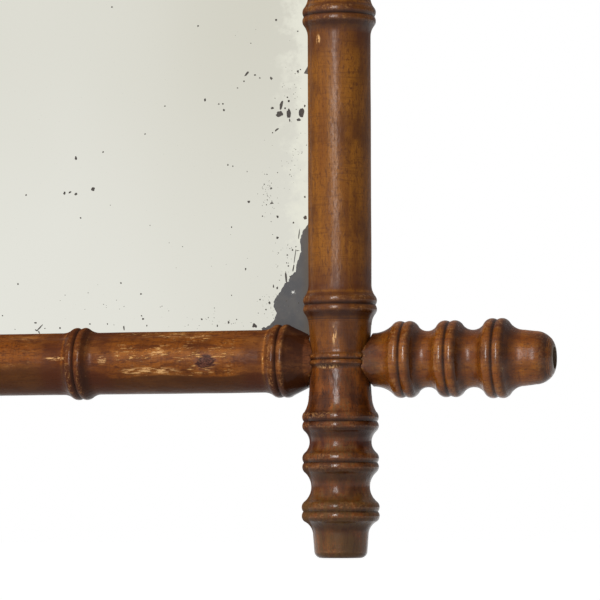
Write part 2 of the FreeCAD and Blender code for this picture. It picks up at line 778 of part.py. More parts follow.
def make_hangers():
    """A strap with its ring on the back of each stile, and the screws that hold the straps."""
    pieces = []
    screws = []
    for side, x in (("left", f"-{STILE_X}"), ("right", STILE_X)):
        pieces.append(make_strap(f"hanger_strap_{side}", x))
        pieces.append(make_ring(f"hanger_ring_{side}", x))
        for drop in screw_drops():
            screws.append(make_screw(x, drop))
    return pieces + [make_group("hanger_screws", screws)]


def check(pieces):
    """Stops if anything in the document failed to build."""
    failed = [item.Name for item in DOC.Objects if {"Invalid", "Error"} & set(item.State)]
    failed += [piece.Label for piece in pieces if piece.Shape.isNull() or not piece.Shape.isValid()]
    if failed:
        raise RuntimeError("failed to build: " + ", ".join(failed))


def main():
    fill_sheet()
    pieces = make_frame() + make_plate()
    pieces += [make_wedges(), make_brads(), make_pegs()]
    pieces += make_hangers()
    DOC.recompute()
    check(pieces)
    os.makedirs("parts", exist_ok=True)
    for piece in pieces:
        piece.Shape.exportStep(f"parts/{piece.Label}.step")
        print(piece.Label, len(piece.Shape.Solids), round(piece.Shape.Volume), "mm3")


main()
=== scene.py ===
import bpy
import bmesh
import math
import numpy as np
from types import SimpleNamespace as Measures
from mathutils import Matrix, Vector, noise


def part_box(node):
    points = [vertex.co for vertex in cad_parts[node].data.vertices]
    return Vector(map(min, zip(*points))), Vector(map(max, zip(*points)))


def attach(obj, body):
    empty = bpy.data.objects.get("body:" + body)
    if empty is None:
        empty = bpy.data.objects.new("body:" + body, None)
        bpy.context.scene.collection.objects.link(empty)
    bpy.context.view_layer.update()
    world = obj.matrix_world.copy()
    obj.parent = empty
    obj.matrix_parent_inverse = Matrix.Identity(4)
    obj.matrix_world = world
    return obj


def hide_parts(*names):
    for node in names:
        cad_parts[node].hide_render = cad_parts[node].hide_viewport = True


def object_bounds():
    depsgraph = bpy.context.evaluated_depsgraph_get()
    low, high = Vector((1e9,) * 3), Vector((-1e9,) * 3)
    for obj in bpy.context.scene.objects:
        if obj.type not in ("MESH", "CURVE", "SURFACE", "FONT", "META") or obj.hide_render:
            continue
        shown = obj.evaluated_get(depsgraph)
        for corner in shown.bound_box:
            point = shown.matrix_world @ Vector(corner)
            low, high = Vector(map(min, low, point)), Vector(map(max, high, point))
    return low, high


# Looks of the faux bamboo mirror. Lengths in the tables are millimetres in the CAD frame.

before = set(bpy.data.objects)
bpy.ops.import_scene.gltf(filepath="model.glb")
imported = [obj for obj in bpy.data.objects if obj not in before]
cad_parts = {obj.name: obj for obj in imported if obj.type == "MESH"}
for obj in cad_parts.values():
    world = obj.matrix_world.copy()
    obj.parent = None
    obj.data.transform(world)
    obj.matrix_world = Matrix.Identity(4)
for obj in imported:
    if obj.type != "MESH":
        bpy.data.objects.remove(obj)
CAD_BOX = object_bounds()
MM = 0.001

# Turned sticks, as in the part's source
SHAFT = 16.2
STILE_X, STILE_Y = 245.5, -23.3
RAIL_Y = STILE_Y + 3
LOW_Z, HIGH_Z = -545, 101
STILE_RINGS = [28 + 147.5 * bay for bay in range(5)]
RAIL_RINGS = [30.5 + 107.5 * bay for bay in range(5)]
STILE_SPAN = HIGH_Z - LOW_Z
RAIL_SPAN = 2 * STILE_X
REBATE_WALL = 8
GLASS_FRONT = -22.3
# How far the thin patches' backs stand off the plate, and how far patches reach under the frame
PATCH_BACK = 0.02
TUCKED = 1.5
SEAT_DEPTH, SEAT_LOW, SEAT_HIGH = 14, 499, 565
NODE = Measures(crest=2.7, round=3.6, groove=0.8, shoulder=0.9, flare=5.5)
CROSSING = Measures(crest=0.2, round=2, groove=0.7, shoulder=0.9, reach=20, waist=1)
FOOT = Measures(
    crest=3.4, tip=3.7, round=3.6, groove=0.8, shoulder=1.2, rings=(31.2, 52, 76.8),
    coves=(2.5, 3.5), root=(7, 4.5), taper=0.6, end_round=3.5, length=100.3, flare=8)
FINIAL = Measures(
    crest=3.4, tip=4.1, round=4, groove=0.9, shoulder=1.6, rings=(33.3, 56.6, 80.8),
    coves=(3.6, 3.7), root=(8, 4.4), taper=0.7, end_round=10, length=110.2)
NECK = Measures(inset=9, radius=12.6, reach=17, swell=1.2)
TENON = Measures(radius=7, tip=0.6)
RECESS = Measures(radius=5.6, depth=3, rim=0.4, bevel=0.3)
# A scribed neck's gap, and how much further it stands open at the top where the joint has moved
JOINT_GAP = 0.15
OPEN_JOINT = {"finial_bottom_right": 1.6, "finial_top_left": 0.5}

# Meshes: points round a stick and in its rebate's corner, the radius that closes an end, how near
# two measures count as one, and the angle of sharp edges
AROUND, CORNER, CLOSED, NEAR, SHARP = 88, 8, 0.4, 0.01, math.radians(38)
BACK = np.array((0, 1, 0))
# Hand turning: what it takes off a stick thicker than THICK, and the lengths of its unevenness
TURNING_LOSS, UNEVEN, THICK = 0.14, 0.10, 10
UNEVEN_ALONG, UNEVEN_ACROSS = 23, 14
# Steps of an outline, and the widths it is smoothed over to find grooves, creases, coves and bays
SAMPLE, STEEPEST = 0.1, 3
HOLLOW_WIDTHS = 0.7, 1.8, 4.5, 11
# How far the grain of one stick lies from that of the next
GRAIN_STRIDE = 517

# Camera of the photograph
CAMERA_SPOT = Vector((0.6507, -1.7092, -0.6222))
CAMERA_AIM = Vector((-0.24462, 0.96764, 0.06207)).normalized()
CAMERA_ROLL = math.radians(-0.152)
CAMERA_LENS, SENSOR, PIXELS = 204.96, 36, 600


class Outline:
    """Points (along, radius) of a turned outline, added one stretch after another."""

    def __init__(self, along, radius):
        self.points = [(along, radius)]

    def line(self, along, radius, step=2.5):
        here = self.points[-1]
        count = max(1, math.ceil(math.dist(here, (along, radius)) / step))
        for index in range(1, count + 1):
            part = index / count
            self.points.append(tuple(a + (b - a) * part for a, b in zip(here, (along, radius))))

    def arc(self, along, radius, bend, outward, step=0.5):
        """An arc of under half a turn further along, bulging out from the axis or in towards it."""
        here, there = np.array(self.points[-1]), np.array((along, radius))
        chord = there - here
        length = np.linalg.norm(chord)
        away = np.array((-chord[1], chord[0])) / length
        height = math.sqrt(max(bend ** 2 - length ** 2 / 4, 0))
        centre = (here + there) / 2 - away * height * (1 if outward else -1)
        start = math.atan2(*(here - centre)[::-1])
        sweep = math.atan2(*(there - centre)[::-1]) - start
        sweep = (sweep + math.pi) % (2 * math.pi) - math.pi
        count = max(3, math.ceil(abs(sweep) * bend / step))
        for index in range(1, count + 1):
            turn = start + sweep * index / count
            self.points.append(
                (centre[0] + bend * math.cos(turn), centre[1] + bend * math.sin(turn)))

    def beads(self, kind, centre, crest=None):
        """Two beads with a sharp groove between them."""
        top = SHAFT + (crest or kind.crest)
        self.arc(centre, top - kind.groove, kind.round, True)
        self.arc(centre + half_ring(kind), top - kind.shoulder, kind.round, True)


def run_down(bend, drop):
    return math.sqrt(2 * bend * drop - drop ** 2)


def half_ring(kind):
    """Distance from a groove to the shoulder of its bead."""
    return run_down(kind.round, kind.groove) + run_down(kind.round, kind.shoulder)


def tangent_bend(run, rise):
    return (run ** 2 + rise ** 2) / (2 * rise)


def sagitta_bend(chord, height):
    return (chord ** 2 / 4 + height ** 2) / (2 * height)


def add_node(outline, centre):
    rise = NODE.crest - NODE.shoulder
    flare = tangent_bend(NODE.flare, rise)
    half = half_ring(NODE)
    outline.line(centre - half - NODE.flare, SHAFT)
    outline.arc(centre - half, SHAFT + rise, flare, False)
    outline.beads(NODE, centre)
    outline.arc(centre + half + NODE.flare, SHAFT, flare, False)


def add_crossing(outline, centre):
    half = half_ring(CROSSING)
    waist = SHAFT - CROSSING.waist
    edge = half + CROSSING.shoulder
    outline.line(centre - CROSSING.reach, SHAFT)
    outline.line(centre - edge, waist, 1)
    outline.line(centre - half, SHAFT + CROSSING.crest - CROSSING.shoulder, 0.4)
    outline.beads(CROSSING, centre)
    outline.line(centre + edge, waist, 0.4)
    outline.line(centre + CROSSING.reach, SHAFT, 1)


def add_turned_end(outline, end):
    """Three double beads with coves between them, then the knob and its flat end."""
    half = half_ring(end)
    low = SHAFT + end.crest - end.shoulder
    last = SHAFT + end.tip - end.shoulder
    one, two, three = end.rings
    outline.beads(end, one)
    outline.arc(two - half, low, sagitta_bend(two - one - 2 * half, end.coves[0]), False)
    outline.beads(end, two)
    outline.arc(three - half, last, sagitta_bend(three - two - 2 * half, end.coves[1]), False)
    outline.beads(end, three, end.tip)
    run, drop = end.root
    outline.arc(three + half + run, last - drop, tangent_bend(run, drop), False)
    tip = last - drop - end.taper
    outline.line(end.length - end.end_round, tip, 1)
    outline.arc(end.length, tip - end.end_round, end.end_round, True)


def foot_outline():
    """The foot from its first flare outward."""
    start = FOOT.rings[0] - half_ring(FOOT)
    rise = FOOT.crest - FOOT.shoulder
    outline = Outline(start - FOOT.flare, SHAFT)
    outline.arc(start, SHAFT + rise, tangent_bend(FOOT.flare, rise), False)
    add_turned_end(outline, FOOT)
    outline.line(FOOT.length, CLOSED, 3)
    return outline.points


def stile_outline():
    """A whole stile, measured up from the lower crossing."""
    foot = foot_outline()
    outline = Outline(-foot[-1][0], foot[-1][1])
    outline.points += [(-along, radius) for along, radius in reversed(foot[:-1])]
    add_crossing(outline, 0)
    for ring in STILE_RINGS:
        add_node(outline, ring)
    add_crossing(outline, STILE_SPAN)
    outline.line(STILE_SPAN + foot[0][0], SHAFT)
    outline.points += [(STILE_SPAN + along, radius) for along, radius in foot[1:]]
    return outline.points


def neck_outline(start, radius, bend=None):
    """The tenon and the neck, up to the shoulder of the first bead."""
    swollen = NECK.radius + NECK.swell
    outline = Outline(TENON.tip, CLOSED)
    outline.line(TENON.tip, TENON.radius, 4)
    outline.line(NECK.inset, TENON.radius, 3)
    outline.line(NECK.inset, NECK.radius, 1.5)
    outline.line(NECK.reach, swollen, 0.8)
    if bend:
        outline.arc(start, radius, bend, False)
    else:
        outline.line(start, radius, 0.8)
    return outline


def rail_outline():
    """A whole rail, measured from the axis of the left stile."""
    rise = NODE.crest - NODE.shoulder
    half = half_ring(NODE)
    outline = neck_outline(RAIL_RINGS[0] - half, SHAFT + rise)
    outline.beads(NODE, RAIL_RINGS[0])
    bend = tangent_bend(NODE.flare, rise)
    outline.arc(RAIL_RINGS[0] + half + NODE.flare, SHAFT, bend, False)
    other = [(RAIL_SPAN - along, radius) for along, radius in reversed(outline.points)]
    for ring in RAIL_RINGS[1:-1]:
        add_node(outline, ring)
    outline.line(*other[0])
    outline.points += other[1:]
    return outline.points


def finial_outline():
    """A finial, measured from the axis of its stile."""
    start = FINIAL.rings[0] - half_ring(FINIAL)
    shoulder = SHAFT + FINIAL.crest - FINIAL.shoulder
    rise = shoulder - NECK.radius - NECK.swell
    outline = neck_outline(start, shoulder, tangent_bend(start - NECK.reach, rise))
    add_turned_end(outline, FINIAL)
    while outline.points[-1][1] < RECESS.radius + RECESS.rim:
        outline.points.pop()
    outline.line(outline.points[-1][0] - RECESS.bevel, RECESS.radius, 0.2)
    floor = FINIAL.length - RECESS.depth
    outline.line(floor, RECESS.radius, 0.5)
    outline.line(floor, CLOSED, 1)
    return outline.points


def crossing_radius(height):
    """Radius of a stile at a height above or below a crossing."""
    outline = Outline(-CROSSING.reach, SHAFT)
    add_crossing(outline, 0)
    table = np.array(outline.points)
    return np.interp(height, table[:, 0], table[:, 1])


def hollows(points):
    """The outline's slope at each point, then how far the point lies under the outline as smoothed
    over each width."""
    along, radius = np.array(points).T
    order = np.argsort(along, kind="stable")
    even = np.arange(along.min(), along.max(), SAMPLE)
    level = np.interp(even, along[order], radius[order])
    found = [np.interp(along, even, np.gradient(level, SAMPLE).clip(-STEEPEST, STEEPEST))]
    for width in HOLLOW_WIDTHS:
        cells = round(width / SAMPLE)
        reach = np.arange(-3 * cells, 3 * cells + 1)
        weight = np.exp(-(reach / cells) ** 2 / 2)
        padded = np.pad(level, 3 * cells, mode="edge")
        blurred = np.convolve(padded, weight / weight.sum(), mode="valid")
        found.append(np.interp(along, even, blurred - level))
    return found


def section(radius, notch):
    """Points across one station, as inward and backward distances. A notch that is cut takes out
    the corner of the rebate."""
    if notch is None:
        turn = np.linspace(0, 2 * math.pi, AROUND + CORNER, endpoint=False)
        return radius * np.cos(turn), radius * np.sin(turn)
    inward, back, cut = notch
    lip = math.asin(np.clip(back / radius, -1, 1))
    wall = math.acos(np.clip(inward / radius, -1, 1))
    turn = np.linspace(wall, lip + 2 * math.pi, AROUND)
    turn = np.append(turn, np.linspace(lip, wall, CORNER + 2)[1:-1])
    u, v = radius * np.cos(turn), radius * np.sin(turn)
    if cut:
        half = CORNER // 2
        top = radius * math.sin(wall)
        lip_run = np.linspace(radius * math.cos(lip), inward, half + 1)[1:]
        wall_run = np.linspace(back, top, CORNER - half + 1)[1:-1]
        wall_run = np.append(wall_run, wall_run[-1] * 0.3 + top * 0.7)
        u[AROUND:] = np.concatenate((lip_run, np.full(CORNER - half, inward)))
        v[AROUND:] = np.concatenate((np.full(half, back), wall_run))
    return u, v


def stations(points, cuts):
    """Stations as (along, radius, flags of the cuts). The end of a cut gives two, told apart by a
    measure on either side of it."""
    rows = []
    for before, after in zip(points, points[1:] + points[-1:]):
        rows.append((*before, before[0]))
        for edge in sorted(end for cut in cuts for end in cut):
            if before[0] <= edge < after[0]:
                part = (edge - before[0]) / (after[0] - before[0])
                radius = before[1] + (after[1] - before[1]) * part
                rows += [(edge, radius, edge - NEAR), (edge, radius, edge + NEAR)]
    return [
        (along, radius, [low < beside < high for low, high in cuts])
        for along, radius, beside in rows]


def finish_mesh(name, vertices, faces):
    mesh = bpy.data.meshes.new(name)
    mesh.from_pydata(vertices, [], faces)
    work = bmesh.new()
    work.from_mesh(mesh)
    bmesh.ops.recalc_face_normals(work, faces=work.faces)
    work.to_mesh(mesh)
    work.free()
    mesh.shade_smooth()
    mesh.set_sharp_from_angle(angle=SHARP)
    piece = bpy.data.objects.new(name, mesh)
    bpy.context.scene.collection.objects.link(piece)
    return piece


def scribed_run(name, away, radius, u, v):
    """Distances of a station's points from the stile's axis on a scribed neck, or None elsewhere."""
    on_neck = TENON.tip + NEAR < away <= NECK.reach + NEAR
    if not on_neck or radius <= TENON.radius - NEAR:
        return None
    gap = JOINT_GAP + OPEN_JOINT.get(name, 0) * np.clip(u / SHAFT + 0.1, 0, 1)
    reach = crossing_radius(np.abs(u)) + gap
    scribed = np.sqrt(np.maximum(reach ** 2 - (v + RAIL_Y - STILE_Y) ** 2, 0))
    share = (away - NECK.inset) / (NECK.reach - NECK.inset)
    if radius <= TENON.radius + NEAR:
        share = 0
        scribed = np.minimum(scribed, away + scribed * (away >= NECK.inset - NEAR))
    return scribed + (NECK.reach - scribed) * share


def tube_faces(rings, count):
    """Faces of a tube of rings with count points each, with its two ends closed."""
    faces = []
    for low in range(0, (rings - 1) * count, count):
        for step in range(count):
            after = (step + 1) % count
            faces.append((low + step, low + after, low + count + after, low + count + step))
    return faces + [tuple(range(count)), tuple(range((rings - 1) * count, rings * count))]


def turned_stick(name, points, place, axis, inward, seed, notch=None, seat=None, copes=()):
    """A turned stick as a mesh with its rebate, hanger seat and scribed ends. Its layers say where
    a point lies in the grain, and how deep in the turning."""
    place, axis, inward = (np.array(part, float) for part in (place, axis, inward))
    rows = stations(points, ([notch["span"]] if notch else []) + ([seat] if seat else []))
    slope, groove, crease, cove, bay = hollows([row[:2] for row in rows])
    spots, grain, turning, shape = [], [], [], []
    for index, (along, radius, flags) in enumerate(rows):
        u, v = section(radius, (notch["inward"], notch["back"], flags[0]) if notch else None)
        if seat and flags[1]:
            v = np.minimum(v, SEAT_DEPTH)
        run = np.full(len(u), along)
        for centre, toward in copes:
            scribed = scribed_run(name, abs(along - centre), radius, u, v)
            run = run if scribed is None else centre + toward * scribed
        uneven = np.array([
            noise.noise((along / UNEVEN_ALONG + seed, a / UNEVEN_ACROSS, b / UNEVEN_ACROSS))
            for a, b in zip(u, v)])
        loss = np.clip(TURNING_LOSS + UNEVEN * uneven, 0, 1) * (radius > THICK)
        slim = 1 - loss / max(radius, 1)
        across = np.outer(u * slim, inward) + np.outer(v * slim, BACK)
        spots.append((place + np.outer(run, axis) + across) * MM)
        grain.append(np.stack((run + seed * GRAIN_STRIDE, u, v), axis=1))
        turning.append(np.tile((groove[index], crease[index], cove[index], 1), (len(u), 1)))
        shape.append(np.tile((bay[index], along, slope[index]), (len(u), 1)))
    faces = tube_faces(len(rows), AROUND + CORNER)
    piece = finish_mesh(name + "_turned", np.concatenate(spots).tolist(), faces)
    for layer_name, field, parts in (
            ("grain", "vector", grain), ("turning", "color", turning), ("shape", "vector", shape)):
        layer = piece.data.attributes.new(layer_name, "FLOAT_" + field.upper(), "POINT")
        layer.data.foreach_set(field, np.concatenate(parts).astype(np.float32).ravel())
    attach(piece, "frame")
    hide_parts(name)
    return piece


def make_sticks():
    sticks = {}

    def make(name, *shape, **cuts):
        sticks[name] = turned_stick(name, *shape, len(sticks) + 1, **cuts)

    outline = stile_outline()
    notch = {"inward": REBATE_WALL, "back": 1, "span": (REBATE_WALL, STILE_SPAN - REBATE_WALL)}
    for name, side in (("stile_left", -1), ("stile_right", 1)):
        place = (side * STILE_X, STILE_Y, LOW_Z)
        make(name, outline, place, (0, 0, 1), (-side, 0, 0), notch=notch, seat=(SEAT_LOW, SEAT_HIGH))
    outline = rail_outline()
    notch = {"inward": REBATE_WALL, "back": -2, "span": (REBATE_WALL, RAIL_SPAN - REBATE_WALL)}
    copes = (0, 1), (RAIL_SPAN, -1)
    for name, level, up in (("rail_bottom", LOW_Z, 1), ("rail_top", HIGH_Z, -1)):
        place = (-STILE_X, RAIL_Y, level)
        make(name, outline, place, (1, 0, 0), (0, 0, up), notch=notch, copes=copes)
    outline = finial_outline()
    for level_name, level in (("bottom", LOW_Z), ("top", HIGH_Z)):
        for side_name, side in (("left", -1), ("right", 1)):
            name, place = f"finial_{level_name}_{side_name}", (side * STILE_X, RAIL_Y, level)
            make(name, outline, place, (side, 0, 0), (0, 0, 1), copes=((0, 1),))
    return sticks


class Graph:
    """A node tree, with short calls for the nodes used here."""

    def __init__(self, tree):
        self.tree = tree

    def add(self, kind, **settings):
        node = self.tree.nodes.new(kind)
        for key, setting in settings.items():
            setattr(node, key, setting)
        return node

    def feed(self, socket, source):
        if hasattr(source, "is_linked"):
            self.tree.links.new(source, socket)
        else:
            socket.default_value = source

    def fill(self, node, **sockets):
        for name, source in sockets.items():
            self.feed(node.inputs[name.replace("_", " ")], source)
        return node.outputs[0]

    def parts(self, vector):
        node = self.add("ShaderNodeSeparateXYZ")
        self.feed(node.inputs[0], vector)
        return node.outputs

    def attribute(self, name, output="Vector"):
        return self.add("ShaderNodeAttribute", attribute_name=name).outputs[output]

    def place(self):
        return self.add("ShaderNodeTexCoord").outputs["Object"]

    def scaled(self, vector, scale, shift=(0, 0, 0)):
        node = self.add("ShaderNodeMapping")
        return self.fill(node, Vector=vector, Scale=scale, Location=shift)

    def noise(self, vector, scale, detail=3, rough=0.55, warp=0):
        return self.fill(
            self.add("ShaderNodeTexNoise"), Vector=vector, Scale=scale, Detail=detail,
            Roughness=rough, Distortion=warp)

    def math(self, operation, one, two=0, clamp=False):
        node = self.add("ShaderNodeMath", operation=operation, use_clamp=clamp)
        self.feed(node.inputs[0], one)
        self.feed(node.inputs[1], two)
        return node.outputs[0]

    def times(self, result, *factors):
        for factor in factors:
            result = self.math("MULTIPLY", result, factor)
        return result

    def plus(self, one, two):
        return self.math("ADD", one, two)

    def most(self, one, two):
        return self.math("MAXIMUM", one, two)

    def squares(self, one, two):
        return self.plus(self.math("POWER", one, 2), self.math("POWER", two, 2))

    def size(self, number):
        return self.math("ABSOLUTE", number)

    def ramp(self, factor, low, high, start=0, end=1, curve="SMOOTHSTEP"):
        """Maps factor from low..high to start..end."""
        return self.fill(
            self.add("ShaderNodeMapRange", interpolation_type=curve), Value=factor,
            From_Min=low, From_Max=high, To_Min=start, To_Max=end)

    def mix(self, factor, one, two):
        node = self.add("ShaderNodeMix", data_type="RGBA")
        self.feed(node.inputs["Factor"], factor)
        for socket, colour in ((node.inputs[6], one), (node.inputs[7], two)):
            self.feed(socket, colour if hasattr(colour, "is_linked") else (*colour, 1))
        return node.outputs[2]

    def paint(self, colour, *coats):
        """Mixes in coats of a tone and its masks, multiplied. A mask is a level or what ramp takes."""
        for tone, *masks in coats:
            levels = [self.ramp(*mask) if isinstance(mask, tuple) else mask for mask in masks]
            colour = self.mix(self.times(*levels), colour, tone)
        return colour

    def bump(self, height, depth, strength, under=None):
        node = self.add("ShaderNodeBump")
        if under is not None:
            self.feed(node.inputs["Normal"], under)
        return self.fill(node, Height=height, Distance=depth, Strength=strength)


class Nodes(Graph):
    """A material and its node tree."""

    def __init__(self, name):
        self.material = bpy.data.materials.new(name)
        self.material.use_nodes = True
        super().__init__(self.material.node_tree)
        self.tree.nodes.clear()
        self.shader = self.add("ShaderNodeBsdfPrincipled")
        output = self.add("ShaderNodeOutputMaterial")
        self.feed(output.inputs["Surface"], self.shader.outputs[0])

    def set(self, **sockets):
        self.fill(self.shader, **sockets)
        return self.material


def srgb(red, green, blue):
    """A colour as it is seen on screen, out of 255, in linear light."""
    return tuple((part / 255 / 12.92 if part < 10.3 else ((part / 255 + 0.055) / 1.055) ** 2.4)
                 for part in (red, green, blue))


# Tones of age and wear on the turned wood, and of the shade painted beside its rings, in its coves,
# creases and grooves and on its flanks
FADED, BARE_WOOD, LOST_POLISH = srgb(166, 104, 46), srgb(204, 154, 92), srgb(208, 160, 104)
RUBBED, FILM, AGED = srgb(158, 111, 64), srgb(114, 84, 44), srgb(86, 60, 26)
RING_SHADE, COVE_SHADE, TIP_GREY = srgb(70, 31, 13), srgb(66, 25, 11), srgb(128, 110, 92)
SHADE_AND_DIRT, WAX_AND_SHADE, GROOVE_SHADE_AND_DIRT = srgb(50, 24, 12), srgb(44, 21, 10), srgb(34, 17, 9)
KNOT_HALO, KNOT_RIM = srgb(112, 66, 44), srgb(50, 22, 13)
KNOT_HEART, KNOT_RING = srgb(52, 23, 14), srgb(112, 66, 48)

# How each kind of stick is stained and worn. shaft and turned are pale, deep and dark stains for the
# plain stick and for what lies further from its middle than ends. coves is how strongly shade is
# painted beside the rings, in the coves and on steep flanks, shaded the sign of the slopes that get
# painted shade and dirt, flecks how much stain has come off, under the old dark stain below a rail,
# dusty where the side towards the plate turns dull, aged where a foot turns grey, and tip the end of a
# finial.
MID_STILE, MID_RAIL = STILE_SPAN / 2, RAIL_SPAN / 2
NECK_RING = MID_RAIL - RAIL_RINGS[0]
WOOD_LOOKS = {
    "polished_stile": {
        "seed": 1, "middle": MID_STILE, "ends": (MID_STILE - 34, MID_STILE + 20),
        "shaft": ((134, 82, 18), (115, 65, 10), (78, 39, 6)),
        "turned": ((138, 74, 21), (106, 52, 13), (44, 20, 7)),
        "coves": 0.8, "gloss": 0.27, "smooth": 0.31, "shaded": 1, "flecks": 0,
        "dusty": (11.5, 14.5), "aged": (MID_STILE + 40, MID_STILE + 78),
    },
    "polished_rail": {
        "seed": 2, "middle": MID_RAIL, "ends": (NECK_RING, NECK_RING + 4),
        "shaft": ((134, 76, 22), (112, 57, 13), (72, 33, 9)),
        "turned": ((128, 74, 40), (102, 56, 28), (64, 33, 17)),
        "coves": 0.9, "gloss": 0.13, "smooth": 0.27, "shaded": -1, "flecks": 1,
        "dusty": (11.5, 14.5),
        "under": {"stain": (68, 37, 13), "left_edge": -0.6, "right_edge": -7.6},
    },
    "polished_finial": {
        "seed": 3, "middle": 0, "ends": (30, 17),
        "shaft": ((154, 92, 22), (134, 70, 12), (79, 37, 8)),
        "turned": ((110, 60, 26), (90, 46, 18), (56, 27, 12)),
        "coves": 0.4, "gloss": 0.33, "smooth": 0.25, "shaded": -0.6, "flecks": 0,
        "tip": FINIAL.length,
    },
}

# Marks seen in the photograph: (spot, half size, kind), in millimetres of the CAD frame
WOOD_MARKS = {
    "polished_rail": (
        ((178.1, -36.3, -545.6), (4.9, 8, 3.9), "knot"),
        ((152.5, -35.8, -540.7), (6.5, 6, 2), "bare"),
        ((98, -36.5, -542.8), (8, 6, 1.2), "bare"),
        ((122.7, -36.4, -543.9), (3, 6, 2.6), "bare"),
        ((148, -35.6, -549.6), (19, 6, 2.2), "bare"),
    ),
    "polished_stile": (
        ((246.2, -39, -533), (1.6, 5, 6.5), "bare"),
        ((242.5, -38, -548.6), (8.5, 6, 1.6), "bare"),
        ((237.9, -37.4, -382.7), (1.6, 5, 3.4), "bare"),
    ),
    "polished_finial": (((331.8, -38, -551.7), (1.2, 5, 2), "bare"),),
}


def wood_material(name, look):
    """Old polished stain on turned wood: grain and pores along the stick, wax, dirt and painted shade
    in the creases and grooves, painted shade in the coves, beside the rings and on the flanks, rubbed
    crests, and flecks where the stain has come off."""
    nodes = Nodes(name)
    grain = nodes.attribute("grain")
    across, behind = nodes.parts(grain)[1:]
    groove, crease, cove = nodes.parts(nodes.attribute("turning", "Color"))
    bay, along, slope = nodes.parts(nodes.attribute("shape"))
    shift = [look["seed"] * part for part in (13.7, 5.1, 8.3)]
    coves, flecks, smooth = look["coves"], look["flecks"], look["smooth"]

    def layer(run, wide, detail, rough, warp=0):
        return nodes.noise(nodes.scaled(grain, (run, wide, wide), shift), 1, detail, rough, warp)

    streaks = layer(0.012, 0.20, 4, 0.6, 0.4)
    fibres = layer(0.06, 0.6, 4, 0.65)
    clouds = layer(0.045, 0.09, 4, 0.6)
    pores = layer(0.35, 1, 3, 0.6)
    worn = layer(0.2, 1.15, 5, 0.7, 0.2)
    patches = layer(0.035, 0.11, 2, 0.5)
    mottle = layer(0.07, 0.10, 3, 0.55, 0.5)
    tooled = layer(1.1, 0.07, 3, 0.6)
    scuffs = layer(0.10, 0.42, 5, 0.7)
    nicks = layer(0.9, 0.7, 4, 0.7)
    grit = layer(0.8, 1.3, 3, 0.7)
    dents = layer(0.06, 0.13, 3, 0.5)
    steep = nodes.size(slope)
    ringed = nodes.ramp(nodes.size(bay), 0.03, 0.45)
    apart = nodes.size(nodes.math("SUBTRACT", along, look["middle"]))
    at_end = nodes.ramp(apart, *look["ends"])
    pale, deep, dark = (
        nodes.mix(at_end, srgb(*one), srgb(*two)) for one, two in zip(look["shaft"], look["turned"]))

    colour = nodes.paint(
        deep,
        (pale, (streaks, 0.34, 0.66)),
        (dark, (clouds, 0.45, 0.72, 0, 0.8)),
        (dark, (fibres, 0.50, 0.72, 0, 0.45 + 0.25 * flecks)),
        (dark, (pores, 0.53, 0.66, 0, 0.75)),
        (dark, (tooled, 0.50, 0.68, 0, 0.4)),
        (FADED, (patches, 0.46, 0.68, 0, 0.55 * flecks)),
        (dark, (scuffs, 0.52, 0.60, 0, 0.6 * flecks)))
    bare = nodes.times(nodes.ramp(worn, 0.565, 0.605), nodes.ramp(patches, 0.40, 0.58))
    if "under" in look:
        bare, colour = dark_underside(nodes, look["under"], across, along, patches, bare, colour)
    bare = nodes.times(bare, nodes.ramp(ringed, 0.1, 0.3, flecks, 0))
    colour = nodes.paint(
        colour,
        # Painted shade beside the rings
        (RING_SHADE, ringed, (clouds, 0.3, 0.65, 0.4, 0.9), (at_end, 0, 0.5, 1, 0.5), coves),
        (dark, (mottle, 0.42, 0.68, 0, 0.7), at_end),
        # Painted shade in the coves
        (COVE_SHADE, (cove, 0.2, 1.7), (mottle, 0.36, 0.6, 0.4, 0.95), coves),
        (RUBBED, (crease, -0.06, -0.34), (nicks, 0.49, 0.62), (patches, 0.38, 0.58, 0.06, 0.62)),
        (dark, (grit, 0.56, 0.66, 0, 0.6)),
        (FILM, (mottle, 0.56, 0.40, 0, 0.5), (pores, 0.35, 0.6), (steep, 0, 0.5, 0.25, 1),
         0 if "under" in look else at_end),
        (BARE_WOOD, bare))
    for mark in WOOD_MARKS[name]:
        colour = add_mark(nodes, colour, worn, *mark)

    # Painted shade, with some dirt, on steep flanks and on the slopes that face away from the light
    shaded_flank = nodes.ramp(steep, 0.3, 1.3, 0, 0.7 * coves)
    shaded_slope = nodes.ramp(nodes.times(slope, look["shaded"]), 0.02, 0.5, 0, 0.85)
    shaded_slope = nodes.times(shaded_slope, nodes.ramp(clouds, 0.3, 0.6, 0.7, 1))
    sunk = nodes.math("SUBTRACT", crease, nodes.times(cove, 0.25))
    colour = nodes.paint(
        colour,
        (SHADE_AND_DIRT, nodes.most(shaded_flank, shaded_slope)),
        # Wax with painted shade in the creases, and dirt with painted shade in the grooves
        (WAX_AND_SHADE, (sunk, 0.12, 0.42), (clouds, 0.3, 0.6, 0.5, 0.8)),
        (GROOVE_SHADE_AND_DIRT, (groove, 0.08, 0.34, 0, 0.6)))
    if "aged" in look:
        streaky = nodes.plus(nodes.times(fibres, 0.6), nodes.times(mottle, 0.4))
        colour = nodes.paint(
            colour,
            (AGED, (apart, *look["aged"]), (streaky, 0.40, 0.55, 0.1, 0.65),
             (cove, 0.2, 1.4, 1, 0.3)))
    if "tip" in look:
        squares, tip = nodes.squares(across, behind), look["tip"]
        colour = nodes.paint(
            colour, (TIP_GREY, (squares, 70, 40), (along, tip - 9, tip - 7), 0.7))

